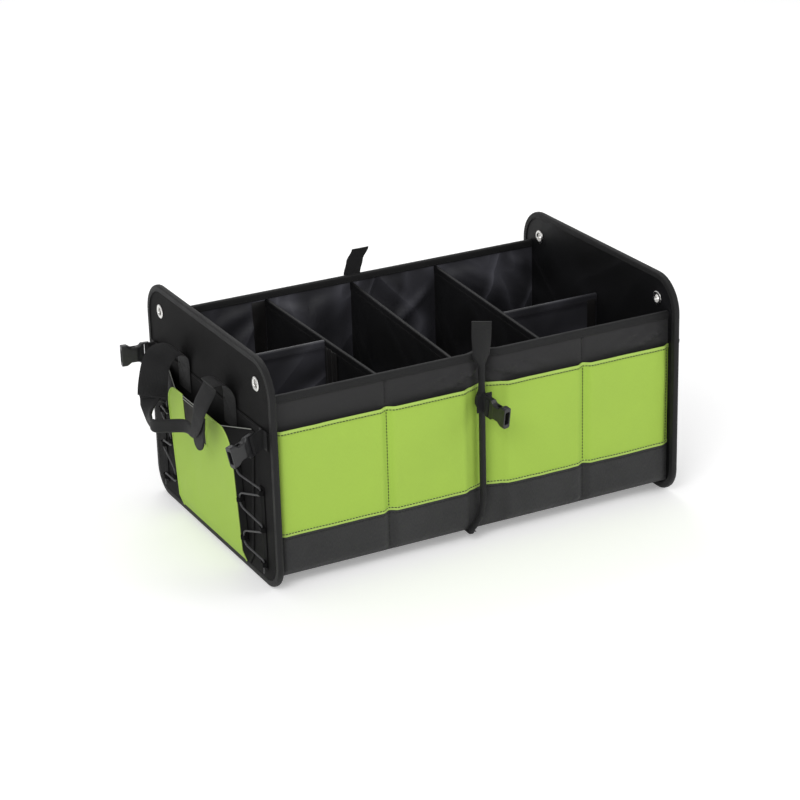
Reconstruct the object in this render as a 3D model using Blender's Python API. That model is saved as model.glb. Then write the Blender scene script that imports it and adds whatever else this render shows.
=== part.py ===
"""Collapsible car boot organizer: two stiff end panels, cloth walls, dividers, straps and buckles.

Metres, +Z up. The origin is on the floor under the middle of the organizer, +X runs along its length
and -Y faces the front wall with the coloured pockets.
"""

import math

import bmesh
import bpy
from mathutils import Matrix, Vector

# Running gap between pieces that touch or are sewn together.
GAP = 0.0003

# End panels: cloth, board and lining inside an edge binding.
PANEL_SPACING = 0.580
PANEL_WIDTH = 0.389
PANEL_HEIGHT = 0.304
PANEL_TOP_RADIUS = 0.048
PANEL_BOTTOM_RADIUS = 0.036
END_BOARD = 0.0030
BINDING_CLOTH = 0.0010
BINDING_LEG = 0.0085
CORNER_STEPS = 6

# Cloth and boards of the walls.
SKIN = 0.0010
LINING = 0.0008
WALL_BOARD = 0.0025
WALL_HALF_DEPTH = 0.1765
WALL_BOTTOM = 0.018
WALL_TOP = 0.258
RIM_LEG = 0.010
BOARD_MARGIN = 0.0015

# Middle fold of the front wall.
STRAP_X = 0.009
CREASE_DEPTH = 0.009
CREASE_HALF = 0.022
CREASE_FOOT = 0.031
CREASE_FULL = 0.086

# Front pockets.
POCKET_TOP = 0.213
POCKET_BELLY = 0.0055
POCKET_RAMP = 0.014
GREEN_BOTTOM = 0.073
POCKET_FLOOR = 0.028
POCKET_CLOTH = 0.0010
SEAM_LEFT_X = -0.131
SEAM_RIGHT_X = 0.155

# Floor of the organizer.
BASE_CLOTH = 0.0012
BASE_BOARD = 0.0040

# Dividers.
DIVIDER_THICK = 0.0034
DIVIDER_HEM = 0.0050
DIVIDER_HEM_HEIGHT = 0.011
DIVIDER_DROP = RIM_LEG + GAP
DIVIDER_ENDS_X = {
    "divider_left": (-0.130, -0.130),
    "divider_middle": (-0.0245, -0.001),
    "divider_right": (0.105, 0.130),
}
BAY_LEFT_Y = -0.010
BAY_RIGHT_Y = 0.000
BAY_RIGHT_DROP = 0.018

# Eyelets in the top corners of the end panels.
EYELET_FROM_SIDE = 0.0445
EYELET_FROM_TOP = 0.036
EYELET_Y = PANEL_WIDTH / 2 - EYELET_FROM_SIDE
EYELET_Z = PANEL_HEIGHT - EYELET_FROM_TOP
EYELET_FLANGE_R = 0.0095
EYELET_BARREL_R = 0.0056
EYELET_HOLE_R = 0.0048
EYELET_METAL = 0.0008
EYELET_STEPS = 20
EYELET_SHARP_DEGREES = 40

# Webbing and the long strap round the middle.
WEBBING_WIDTH = 0.025
WEBBING_THICK = 0.0015
STRAP_ROLL = 5.5
STRAP_ROLL_AT_TAB = 3.2
STRAP_ROLL_HALF = 0.022
STRAP_TWIST = -32
STRAP_TAIL_TOP = 0.303
STRAP_STAND_OFF = 0.0085
STRAP_REAR_STAND_OFF = 0.0016
STRAP_UNDER = 0.0016
STRAP_BEND = 0.003
STRAP_PROUD_FOOT = 0.0025
STRAP_OFF_FOLD = -0.005
STRAP_SHIFT_UNDER = -0.0155
STRAP_SAG = 0.002
STRAP_SAG_LENGTH = 0.040
STRAP_SHIFT_TAIL = -0.003
STRAP_TAIL_TILT = 0.003
STRAP_TAIL_LEAN = 0.012
STRAP_TAIL_HEM = 0.014
STRAP_REAR_TAIL = 0.035
STRAP_COLUMNS = 8
STRAP_CORNER = 0.3
STRAP_REAR_TILT = 0.004

# Buckles, measured from the middle of the bar.
BAR_R = 0.0020
BAR_STEPS = 12
BUCKLE_HALF_WIDTH = 0.0145
BUCKLE_REACH = 0.036
BUCKLE_ARM = 0.0016
BUCKLE_ARM_HALF = 0.0026
BUCKLE_ARM_OVERLAP = 0.002
BUCKLE_BODY_START = 0.0049
BUCKLE_BASE_HALF = 0.0032
BUCKLE_HEAD_HALF = 0.0052
BUCKLE_NECK_HALF_WIDTH = 0.0106
BUCKLE_TAPER = 0.0008
BUCKLE_WALL = 0.0018
BUCKLE_CHAMFER = 0.35
SHOULDER_END = 0.0040
NECK_START = 0.0100
NECK_FLARE = 0.0130
HEAD_START = 0.0070
SOCKET_DEPTH = 0.021
WINDOW_NEAR = 0.0120
WINDOW_FAR = 0.0190
WINDOW_RIM = 0.0010
PRONG_SHOULDER = 0.0090
PRONG_HALF = 0.0026
PRONG_ROOT = (0.0060, 0.0100)
PRONG_BARB_WIDTH = 0.0142
PRONG_TIP = 0.0060
PRONG_NECK_END = 0.0071
PRONG_BARB = (0.0084, 0.0110)
PRONG_NOSE = 0.0031
PRONG_NOSE_CUT = 0.0011
PRONG_INSIDE = 0.0062
PRONG_BODY_ROUND = 0.0027
GUIDE_HALF = 0.0020
GUIDE_TIP_HALF = 0.0014
GUIDE_BACK = 0.0049

# Places of the buckle tabs: reach of the bar from the face that the tab is sewn to.
END_TAB_Y = 0.170
END_TAB_Z = 0.203
END_TAB_REACH = 0.0165
LEFT_REAR_TAB_Z = 0.207
LEFT_REAR_TAB_REACH = 0.0125
WALL_TAB_Z = 0.193
FRONT_TAB_REACH = 0.0110
RIGHT_FRONT_TAB_REACH = 0.0110
RIGHT_FRONT_SWING = 72
REAR_TAB_REACH = 0.0182
TAB_FOOT = 0.011
TAB_ROOT_GAP = 0.0012
TAB_WRAP_STEPS = 5
TAB_WRAP_DEGREES = 140

# Carrying handles.
HANDLE_WIDTH = 0.038
HANDLE_CLOTH = 0.0016
GRIP_WIDTH = 0.018
GRIP_THICK = 0.0042
HANDLE_LEG_Y = 0.067
HANDLE_SEWN_BOTTOM = 0.186
HANDLE_TOP = 0.247
HANDLE_REACH = 0.068
GRIP_Z = 0.167
HANDLE_LIFT = 0.020
HANDLE_SPLAY = 0.005
GRIP_HALF_LENGTH = 0.018
GRIP_TILT = 0.008
GRIP_SKEW = 0.024
HANDLE_STEPS = 5

# Pocket on the left end panel.
BACKING_TOP = 0.215
BACKING_CLOTH = 0.0010
END_POCKET_HALF = 0.100
END_POCKET_TOP = 0.189
END_POCKET_BOTTOM = 0.010
END_POCKET_FOOT = 0.026
END_POCKET_FOOT_OUT = 0.0055
END_POCKET_TOP_OUT = 0.0145
END_POCKET_CORNER = 0.033
END_POCKET_CORNER_INSET = 0.028
NOTCH_Y = (-0.022, 0.048)
NOTCH_BOTTOM = 0.142
GUSSET_SPREAD = 2.3
GUSSET_FLANGE = 0.009
GUSSET_RISE = 0.014

# Elastic lacing beside the end pocket: one cord on each side, through loops on two tapes.
LACE_R = 0.0012
LACE_TURN = 0.0025
LACE_TAIL = 0.008
LACE_STEPS = 6
LOOP_CLOTH = 0.0010
LOOP_HEIGHT = 0.006
LOOP_INSIDE = 0.0042
LOOP_HALF = 0.0060
LOOP_FOOT = 0.0020
LOOP_ROUND = 0.0008
TAPE_END = 0.004
LACE_PANEL_Y = 0.158
LACE_PANEL_Z = (0.128, 0.078, 0.030)
LACE_POCKET_IN = 0.008
LACE_POCKET_Z = (0.145, 0.100, 0.048)

END_LAYERS = SKIN + GAP + END_BOARD + GAP + LINING
END_OUTER_X = PANEL_SPACING / 2 + END_LAYERS / 2
END_INNER_X = PANEL_SPACING / 2 - END_LAYERS / 2
WALL_LAYERS = SKIN + GAP + WALL_BOARD + GAP + LINING
WALL_INNER_Y = WALL_HALF_DEPTH - WALL_LAYERS
WALL_END_X = END_INNER_X - GAP
FLOOR_TOP = WALL_BOTTOM + BASE_CLOTH + GAP + BASE_BOARD


def material(name, color, roughness, metallic=0.0):
    """A Principled material with one plain finish."""
    made = bpy.data.materials.new(name)
    made.use_nodes = True
    shader = made.node_tree.nodes["Principled BSDF"]
    shader.inputs["Base Color"].default_value = (*color, 1.0)
    shader.inputs["Roughness"].default_value = roughness
    shader.inputs["Metallic"].default_value = metallic
    return made


def add_object(name, bm, finish):
    """Turns a bmesh into a scene object with its faces pointing out."""
    bmesh.ops.recalc_face_normals(bm, faces=bm.faces)
    mesh = bpy.data.meshes.new(name)
    bm.to_mesh(mesh)
    bm.free()
    obj = bpy.data.objects.new(name, mesh)
    mesh.materials.append(finish)
    bpy.context.scene.collection.objects.link(obj)
    return obj


def loft(name, sections, finish, ring=False):
    """Bridges closed sections, each a list of points, into one solid."""
    bm = bmesh.new()
    loops = [[bm.verts.new(point) for point in section] for section in sections]
    pairs = list(zip(loops, loops[1:]))
    if ring:
        pairs.append((loops[-1], loops[0]))
    count = len(loops[0])
    for first, second in pairs:
        for i in range(count):
            j = (i + 1) % count
            bm.faces.new((first[i], first[j], second[j], second[i]))
    if not ring:
        bm.faces.new(loops[0])
        bm.faces.new(loops[-1])
    return add_object(name, bm, finish)


def plate(name, outline, axis, low, high, finish):
    """Extrudes a flat outline along a world axis, from low to high."""
    places = {
        "X": lambda a, b, c: (c, a, b),
        "Y": lambda a, b, c: (a, c, b),
        "Z": lambda a, b, c: (a, b, c),
    }
    place = places[axis]
    sections = [[place(a, b, level) for a, b in outline] for level in (low, high)]
    return loft(name, sections, finish)


def sheet(name, rows, thickness, finish):
    """A cloth sheet through rows of points, thickened evenly to both sides."""
    bm = bmesh.new()
    grid = [[bm.verts.new(point) for point in row] for row in rows]
    for upper, lower in zip(grid, grid[1:]):
        for i in range(len(upper) - 1):
            bm.faces.new((upper[i], upper[i + 1], lower[i + 1], lower[i]))
    obj = add_object(name, bm, finish)
    thicken(obj, thickness)
    return obj


def thicken(obj, thickness):
    """Gives a sheet its cloth thickness."""
    solid = obj.modifiers.new("cloth", "SOLIDIFY")
    solid.thickness = thickness
    solid.offset = 0.0
    solid.use_even_offset = True


def boolean(obj, other, operation):
    """Adds an exact Boolean with a helper object that is hidden from the render."""
    step = obj.modifiers.new(operation.lower(), "BOOLEAN")
    step.operation = operation
    step.object = other
    other.hide_render = True
    other.display_type = "WIRE"


def arc(centre, radius, start, end, steps):
    """Points on a circle from one angle to another, in degrees."""
    found = []
    for i in range(steps + 1):
        angle = math.radians(start + (end - start) * i / steps)
        found.append((centre[0] + radius * math.cos(angle), centre[1] + radius * math.sin(angle)))
    return found


def rounded_outline(half, bottom, top, bottom_radius, top_radius):
    """Outline of an end panel, anticlockwise from its lower right corner."""
    return (
        arc((half - bottom_radius, bottom + bottom_radius), bottom_radius, -90, 0, CORNER_STEPS)
        + arc((half - top_radius, top - top_radius), top_radius, 0, 90, CORNER_STEPS)
        + arc((top_radius - half, top - top_radius), top_radius, 90, 180, CORNER_STEPS)
        + arc((bottom_radius - half, bottom + bottom_radius), bottom_radius, 180, 270, CORNER_STEPS)
    )


def panel_outline(inset):
    """The end panel's outline, moved inwards by an inset."""
    return rounded_outline(
        PANEL_WIDTH / 2 - inset,
        inset,
        PANEL_HEIGHT - inset,
        PANEL_BOTTOM_RADIUS - inset,
        PANEL_TOP_RADIUS - inset,
    )


def smooth_route(points, steps):
    """A Catmull-Rom curve through the points, each a tuple of numbers."""
    keys = [points[0], *points, points[-1]]
    found = []
    for before, start, end, after in zip(keys, keys[1:], keys[2:], keys[3:]):
        for i in range(steps):
            t = i / steps
            found.append(tuple(
                0.5 * (2 * b + (c - a) * t + (2 * a - 5 * b + 4 * c - d) * t**2 + (3 * b - a - 3 * c + d) * t**3)
                for a, b, c, d in zip(before, start, end, after)
            ))
    found.append(tuple(points[-1]))
    return found


def crease(x, z):
    """How far the front wall is folded inwards at its middle."""
    across = max(0.0, 1 - abs(x - STRAP_X) / CREASE_HALF)
    upward = min(1.0, max(0.0, (z - CREASE_FOOT) / (CREASE_FULL - CREASE_FOOT)))
    return CREASE_DEPTH * across * upward


def crease_stations():
    """Places along the front wall where its cloth bends."""
    return [-WALL_END_X, STRAP_X - CREASE_HALF, STRAP_X, STRAP_X + CREASE_HALF, WALL_END_X]


def eyelet_hole_cutter(finish):
    """Two rods along X that open the eyelet holes in both end panels."""
    bm = bmesh.new()
    for side in (-1, 1):
        turn = Matrix.Rotation(math.pi / 2, 4, "Y")
        bmesh.ops.create_cone(
            bm,
            cap_ends=True,
            segments=EYELET_STEPS,
            radius1=EYELET_BARREL_R + GAP,
            radius2=EYELET_BARREL_R + GAP,
            depth=PANEL_SPACING + PANEL_WIDTH,
            matrix=Matrix.Translation((0, side * EYELET_Y, EYELET_Z)) @ turn,
        )
    return add_object("eyelet_hole_cutter", bm, finish)


def end_panel(side_name, side, finishes, cutter):
    """The cloth, board, lining and edge binding of one end panel."""
    inset = BINDING_CLOTH + GAP
    outline = panel_outline(inset)
    layers = (
        ("outer_cloth", SKIN, "black_cloth"),
        ("board", END_BOARD, "board"),
        ("lining", LINING, "lining"),
    )
    level = END_OUTER_X
    for layer, thick, finish in layers:
        obj = plate(f"{side_name}_end_{layer}", outline, "X", side * level, side * (level - thick),
                    finishes[finish])
        boolean(obj, cutter, "DIFFERENCE")
        level -= thick + GAP
    end_binding(side_name, side, finishes)


def end_binding(side_name, side, finishes):
    """A folded tape round the edge of an end panel."""
    inner = END_LAYERS / 2 + GAP
    outer = inner + BINDING_CLOTH
    profile = (
        (0.0, -outer), (0.0, outer), (BINDING_LEG, outer), (BINDING_LEG, inner),
        (BINDING_CLOTH, inner), (BINDING_CLOTH, -inner), (BINDING_LEG, -inner), (BINDING_LEG, -outer),
    )
    outlines = [(side * PANEL_SPACING / 2 + x, panel_outline(inset)) for inset, x in profile]
    sections = [[(x, *outline[i]) for x, outline in outlines] for i in range(len(outlines[0][1]))]
    loft(f"{side_name}_end_binding", sections, finishes["binding"], ring=True)


def eyelet(name, side, y, finishes):
    """A pressed eyelet with a flange on both faces of the end panel."""
    inner_face = END_LAYERS / 2 + GAP
    outer_face = inner_face + EYELET_METAL
    profile = (
        (EYELET_HOLE_R, -outer_face), (EYELET_FLANGE_R, -outer_face), (EYELET_FLANGE_R, -inner_face),
        (EYELET_BARREL_R, -inner_face), (EYELET_BARREL_R, inner_face), (EYELET_FLANGE_R, inner_face),
        (EYELET_FLANGE_R, outer_face), (EYELET_HOLE_R, outer_face),
    )
    sections = []
    for i in range(EYELET_STEPS):
        angle = 2 * math.pi * i / EYELET_STEPS
        sections.append([(x, r * math.cos(angle), r * math.sin(angle)) for r, x in profile])
    obj = loft(name, sections, finishes["steel"], ring=True)
    obj.location = (side * PANEL_SPACING / 2, y, EYELET_Z)
    obj.data.shade_smooth()
    obj.data.set_sharp_from_angle(angle=math.radians(EYELET_SHARP_DEGREES))


def front_wall(finishes):
    """The folded front wall: outer cloth, two boards and a lining."""
    stations = crease_stations()
    heights = (WALL_TOP - BINDING_CLOTH - GAP, CREASE_FULL, GREEN_BOTTOM, CREASE_FOOT, WALL_BOTTOM)
    for name, depth, thick, finish in (
        ("front_wall_outer_cloth", SKIN / 2, SKIN, "black_cloth"),
        ("front_wall_lining", WALL_LAYERS - LINING / 2, LINING, "lining"),
    ):
        rows = [[(x, depth - WALL_HALF_DEPTH + crease(x, z), z) for x in stations] for z in heights]
        sheet(name, rows, thick, finishes[finish])
    wall_boards("front", -1, finishes)


def rear_wall(finishes):
    """The flat rear wall: outer cloth, two boards and a lining."""
    outline = [(-WALL_END_X, WALL_BOTTOM), (WALL_END_X, WALL_BOTTOM),
               (WALL_END_X, WALL_TOP - BINDING_CLOTH - GAP), (-WALL_END_X, WALL_TOP - BINDING_CLOTH - GAP)]
    plate("rear_wall_outer_cloth", outline, "Y", WALL_HALF_DEPTH, WALL_HALF_DEPTH - SKIN,
          finishes["black_cloth"])
    plate("rear_wall_lining", outline, "Y", WALL_INNER_Y + LINING, WALL_INNER_Y, finishes["lining"])
    wall_boards("rear", 1, finishes)


def wall_boards(wall, side, finishes):
    """Two stiff boards inside a wall, with the fold left free between them."""
    low = WALL_BOTTOM + BOARD_MARGIN
    high = WALL_TOP - BINDING_CLOTH - GAP - BOARD_MARGIN
    outer = WALL_HALF_DEPTH - SKIN - GAP
    fold = CREASE_HALF + BOARD_MARGIN
    for part, start, end in (
        ("left", -WALL_END_X + BOARD_MARGIN, STRAP_X - fold),
        ("right", STRAP_X + fold, WALL_END_X - BOARD_MARGIN),
    ):
        outline = [(start, low), (end, low), (end, high), (start, high)]
        plate(f"{wall}_wall_board_{part}", outline, "Y", side * outer, side * (outer - WALL_BOARD),
              finishes["board"])


def rim_binding(wall, side, finishes):
    """A folded tape over the top edge of a wall, following its fold."""
    outer = WALL_HALF_DEPTH + GAP + BINDING_CLOTH
    inner = WALL_INNER_Y - GAP - BINDING_CLOTH
    leg = WALL_TOP - RIM_LEG
    under = WALL_TOP - BINDING_CLOTH
    profile = (
        (outer, leg), (outer, WALL_TOP), (inner, WALL_TOP), (inner, leg),
        (inner + BINDING_CLOTH, leg), (inner + BINDING_CLOTH, under),
        (outer - BINDING_CLOTH, under), (outer - BINDING_CLOTH, leg),
    )
    stations = crease_stations() if side < 0 else [-WALL_END_X, WALL_END_X]
    sections = []
    for x in stations:
        fold = crease(x, WALL_TOP) if side < 0 else 0.0
        sections.append([(x, side * y + fold, z) for y, z in profile])
    loft(f"{wall}_rim_binding", sections, finishes["binding"])


def pocket_stations():
    """Places along the front pockets, each with how much of the belly it has."""
    edges = [-WALL_END_X, SEAM_LEFT_X, STRAP_X - CREASE_HALF, STRAP_X + CREASE_HALF, SEAM_RIGHT_X, WALL_END_X]
    found = [(-WALL_END_X, 0.0)]
    for start, end in zip(edges, edges[1:]):
        if start < STRAP_X < end:
            found.append((STRAP_X, 0.0))
        else:
            found += [(start + POCKET_RAMP, 1.0), (end - POCKET_RAMP, 1.0)]
        found.append((end, 0.0))
    return found


def front_pockets(finishes):
    """The pocket cloth on the front wall: a coloured band over a black one."""
    seam = WALL_HALF_DEPTH + GAP + POCKET_CLOTH / 2

    def row(z, fullness):
        return [
            (x, crease(x, z) - seam - POCKET_BELLY * belly * fullness, z)
            for x, belly in pocket_stations()
        ]

    sheet("front_pocket_green_band", [row(POCKET_TOP, 1.0), row(CREASE_FULL, 1.0), row(GREEN_BOTTOM, 1.0)],
          POCKET_CLOTH, finishes["green_cloth"])
    sheet("front_pocket_lower_band",
          [row(GREEN_BOTTOM - GAP, 1.0), row(CREASE_FOOT, 1.0), row(POCKET_FLOOR, 1.0),
           row(WALL_BOTTOM, 0.0)],
          POCKET_CLOTH, finishes["black_cloth"])


def base(finishes):
    """The cloth floor and the two loose boards that lie on it."""
    half_depth = WALL_INNER_Y - GAP
    outline = [(-WALL_END_X, -half_depth), (WALL_END_X, -half_depth),
               (WALL_END_X, half_depth), (-WALL_END_X, half_depth)]
    plate("base_cloth", outline, "Z", WALL_BOTTOM, WALL_BOTTOM + BASE_CLOTH, finishes["black_cloth"])
    low = WALL_BOTTOM + BASE_CLOTH + GAP
    edge = WALL_END_X - BOARD_MARGIN
    for part, start, end in (("left", -edge, STRAP_X - GAP), ("right", STRAP_X + GAP, edge)):
        depth = half_depth - BOARD_MARGIN
        outline = [(start, -depth), (end, -depth), (end, depth), (start, depth)]
        plate(f"base_board_{part}", outline, "Z", low, low + BASE_BOARD, finishes["lining"])


def divider(name, start, end, top, finishes):
    """A cloth-covered board between two places, each a centre and the line of its end face."""
    hem = DIVIDER_HEM / 2
    half = DIVIDER_THICK / 2
    bottom = FLOOR_TOP + GAP
    profile = (
        (half, bottom), (half, top - DIVIDER_HEM_HEIGHT), (hem, top - DIVIDER_HEM_HEIGHT), (hem, top),
        (-hem, top), (-hem, top - DIVIDER_HEM_HEIGHT), (-half, top - DIVIDER_HEM_HEIGHT), (-half, bottom),
    )
    sections = [
        [(x + along_x * w, y + along_y * w, z) for w, z in profile]
        for (x, y), (along_x, along_y) in (start, end)
    ]
    loft(name, sections, finishes["lining"])


def divider_x(name, y):
    """Where a cross divider stands at some depth of the organizer."""
    front, rear = DIVIDER_ENDS_X[name]
    reach = WALL_INNER_Y
    return front + (rear - front) * (y + reach) / (2 * reach)


def divider_slope(name):
    """Sideways run of a cross divider for each metre of depth."""
    front, rear = DIVIDER_ENDS_X[name]
    return (rear - front) / (2 * WALL_INNER_Y)


def dividers(finishes):
    """Three cross dividers and the two lengthwise ones in the end bays."""
    reach = WALL_INNER_Y - GAP
    top = WALL_TOP - DIVIDER_DROP
    for name in DIVIDER_ENDS_X:
        ends = [((divider_x(name, y), y), (1.0, 0.0)) for y in (-reach, reach)]
        divider(name, *ends, top, finishes)
    clear = DIVIDER_HEM / 2 + GAP
    for name, cross, side, y, top_here in (
        ("bay_divider_left", "divider_left", -1, BAY_LEFT_Y, top),
        ("bay_divider_right", "divider_right", 1, BAY_RIGHT_Y, top - BAY_RIGHT_DROP),
    ):
        slope = divider_slope(cross)
        outer = ((side * WALL_END_X, y), (0.0, 1.0))
        inner = ((divider_x(cross, y) + side * clear, y), (slope, 1.0))
        divider(name, outer, inner, top_here, finishes)


def strap_row(middle, outward, roll, twist):
    """One row of points across the long strap, rolled into a gutter that opens inwards."""
    turn = Matrix.Rotation(math.radians(twist), 3, "Z")
    found = []
    for i in range(STRAP_COLUMNS + 1):
        sideways = WEBBING_WIDTH * (i / STRAP_COLUMNS - 0.5)
        back = 0.0
        if roll:
            radius = WEBBING_WIDTH / roll
            angle = sideways / radius
            sideways, back = radius * math.sin(angle), radius * (1 - math.cos(angle))
        found.append(middle + turn @ (Vector((sideways, 0, 0)) - outward * back))
    return found


def front_strap_keys(front_y, under_z):
    """The long strap from its front tail down to its turn under the organizer."""
    foot_y = front_y - STRAP_PROUD_FOOT
    roll, shift, tail = STRAP_ROLL, STRAP_SHIFT_UNDER, STRAP_SHIFT_TAIL
    hem_z = STRAP_TAIL_TOP - STRAP_TAIL_HEM
    middle = (CREASE_FULL + CREASE_FOOT) / 2
    near = STRAP_CORNER * STRAP_BEND
    return [
        # y, z, outward (y, z), roll, shift to +X, twist in degrees
        (front_y - STRAP_TAIL_TILT, STRAP_TAIL_TOP, (-1, 0), 0, tail, STRAP_TWIST),
        (front_y - 0.4 * STRAP_TAIL_TILT, hem_z, (-1, 0), 0.1 * roll, 0.8 * tail, 0.8 * STRAP_TWIST),
        (front_y, WALL_TOP + BINDING_CLOTH, (-1, 0), 0.3 * roll, 0.4 * tail, 0.4 * STRAP_TWIST),
        (front_y, (WALL_TOP + POCKET_TOP) / 2, (-1, 0), 0.8 * roll, 0, 0),
        (front_y, WALL_TAB_Z + STRAP_ROLL_HALF, (-1, 0), roll, 0, 0),
        (front_y, WALL_TAB_Z, (-1, 0), STRAP_ROLL_AT_TAB, 0, 0),
        (front_y, WALL_TAB_Z - STRAP_ROLL_HALF, (-1, 0), roll, 0, 0),
        (front_y, CREASE_FULL, (-1, 0), roll, 0, 0),
        (foot_y, middle, (-1, 0), 0.84 * roll, 0.13 * shift, 0),
        (foot_y, CREASE_FOOT, (-1, 0), 0.5 * roll, 0.42 * shift, 0),
        (foot_y, under_z + 2 * STRAP_BEND, (-1, 0), 0.25 * roll, 0.7 * shift, 0),
        (foot_y, under_z + STRAP_BEND, (-1, 0), 0, 0.85 * shift, 0),
        (foot_y + near, under_z - STRAP_SAG + near, (-1, -1), 0, 0.95 * shift, 0),
        (foot_y + STRAP_BEND, under_z - STRAP_SAG, (0, -1), 0, shift, 0),
        (foot_y + STRAP_SAG_LENGTH, under_z, (0, -1), 0, shift, 0),
    ]


def rear_strap_keys(rear_y, under_z):
    """The long strap from its turn under the organizer up to its rear tail."""
    near = STRAP_CORNER * STRAP_BEND
    tilt = STRAP_REAR_TILT
    return [
        (rear_y - STRAP_BEND, under_z, (0, -1), 0, 0, 0),
        (rear_y - near, under_z + near, (1, -1), 0, 0, 0),
        (rear_y, under_z + STRAP_BEND, (1, 0), 0, 0, 0),
        (rear_y, WALL_TOP, (1, 0), 0, 0, 0),
        (rear_y - tilt / 2, WALL_TOP + STRAP_REAR_TAIL / 2, (1, 0), 0, 0.3 * STRAP_TAIL_LEAN, 0),
        (rear_y - tilt, WALL_TOP + STRAP_REAR_TAIL, (1, 0.4), 0, STRAP_TAIL_LEAN, 0),
    ]


def centre_strap(finishes):
    """One webbing strap under the organizer and up both walls, with a free tail at each end."""
    front_y = -WALL_HALF_DEPTH - STRAP_STAND_OFF
    rear_y = WALL_HALF_DEPTH + GAP + BINDING_CLOTH + STRAP_REAR_STAND_OFF
    under_z = WALL_BOTTOM - STRAP_UNDER
    rows = []
    keys = front_strap_keys(front_y, under_z) + rear_strap_keys(rear_y, under_z)
    for y, z, outward, roll, shift, twist in keys:
        middle = Vector((STRAP_X + STRAP_OFF_FOLD + shift, y, z))
        rows.append(strap_row(middle, Vector((0, *outward)).normalized(), roll, twist))
    sheet("centre_strap", rows, WEBBING_THICK, finishes["webbing"])


def tab_profile(reach):
    """Centre line of a webbing tab: out from its sewn feet and round the buckle's bar."""
    foot = GAP + WEBBING_THICK / 2
    pitch = (WEBBING_THICK + GAP) / 2
    wrap = BAR_R + GAP + WEBBING_THICK / 2
    spread = pitch + TAB_ROOT_GAP
    half = [
        (foot, TAB_FOOT),
        (foot, spread + WEBBING_THICK / 2),
        (foot + WEBBING_THICK / 2, spread),
        (foot + 1.5 * WEBBING_THICK, pitch),
        (max(reach - 3 * wrap, foot + 2 * WEBBING_THICK), pitch),
    ]
    half += arc((reach, 0.0), wrap, TAB_WRAP_DEGREES, 0, TAB_WRAP_STEPS)
    return half + [(u, -v) for u, v in reversed(half[:-1])]


def buckle_tab(name, root, outward, lean, reach, finishes):
    """A folded piece of webbing that holds a buckle by its bar, leaning a little along its width."""
    start = GAP + WEBBING_THICK
    end = reach - start - BAR_R
    rows = []
    for u, v in tab_profile(reach):
        share = min(1.0, max(0.0, (u - start) / (end - start)))
        frame = tab_frame(root, outward, lean * share)
        rows.append([frame @ Vector((u, w, v)) for w in (-WEBBING_WIDTH / 2, WEBBING_WIDTH / 2)])
    sheet(name, rows, WEBBING_THICK, finishes["webbing"])


def tab_frame(root, outward, lean):
    """Matrix of a tab: X leads out of the face, Y lies along the bar, Z runs sideways."""
    along = Vector(outward).normalized()
    upright = Vector((0, 0, 1))
    sideways = along.cross(upright)
    turned = Matrix((along, upright, sideways)).transposed().to_4x4()
    return Matrix.Translation(root) @ turned @ Matrix.Rotation(lean, 4, "Z")


def chamfered(x, half_width, half_thick):
    """An eight-sided section of a buckle at one place along it."""
    cut = BUCKLE_CHAMFER * half_thick
    w, t = half_width, half_thick
    return [
        (x, w - cut, -t), (x, w, cut - t), (x, w, t - cut), (x, w - cut, t),
        (x, cut - w, t), (x, -w, t - cut), (x, -w, cut - t), (x, cut - w, -t),
    ]


def buckle_bar(name, finishes):
    """A helper for a buckle: the bar that its tab goes round."""
    bm = bmesh.new()
    bmesh.ops.create_cone(
        bm,
        cap_ends=True,
        segments=BAR_STEPS,
        radius1=BAR_R,
        radius2=BAR_R,
        depth=2 * BUCKLE_HALF_WIDTH - BUCKLE_ARM,
        matrix=Matrix.Rotation(math.pi / 2, 4, "X"),
    )
    return add_object(f"{name}_bar_helper", bm, finishes["buckle"])


def box_helper(name, low, high, finishes):
    """A helper box between two corners."""
    outline = [(low[0], low[1]), (high[0], low[1]), (high[0], high[1]), (low[0], high[1])]
    return plate(name, outline, "Z", low[2], high[2], finishes["buckle"])


def join_helper(body, helper, operation):
    """Applies a helper to a body with a Boolean and lets it move with the body."""
    boolean(body, helper, operation)
    helper.parent = body


def buckle_base(name, sections, finishes):
    """A buckle's body with its two arms and its bar joined to it."""
    body = loft(name, sections, finishes["buckle"])
    for label, side in (("low", -1), ("high", 1)):
        edges = sorted((side * BUCKLE_HALF_WIDTH, side * (BUCKLE_HALF_WIDTH - BUCKLE_ARM)))
        arm = box_helper(
            f"{name}_{label}_arm_helper",
            (-BAR_R - GAP, edges[0], -BUCKLE_ARM_HALF),
            (BUCKLE_BODY_START + BUCKLE_ARM_OVERLAP, edges[1], BUCKLE_ARM_HALF),
            finishes,
        )
        join_helper(body, arm, "UNION")
    join_helper(body, buckle_bar(name, finishes), "UNION")
    return body


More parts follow.
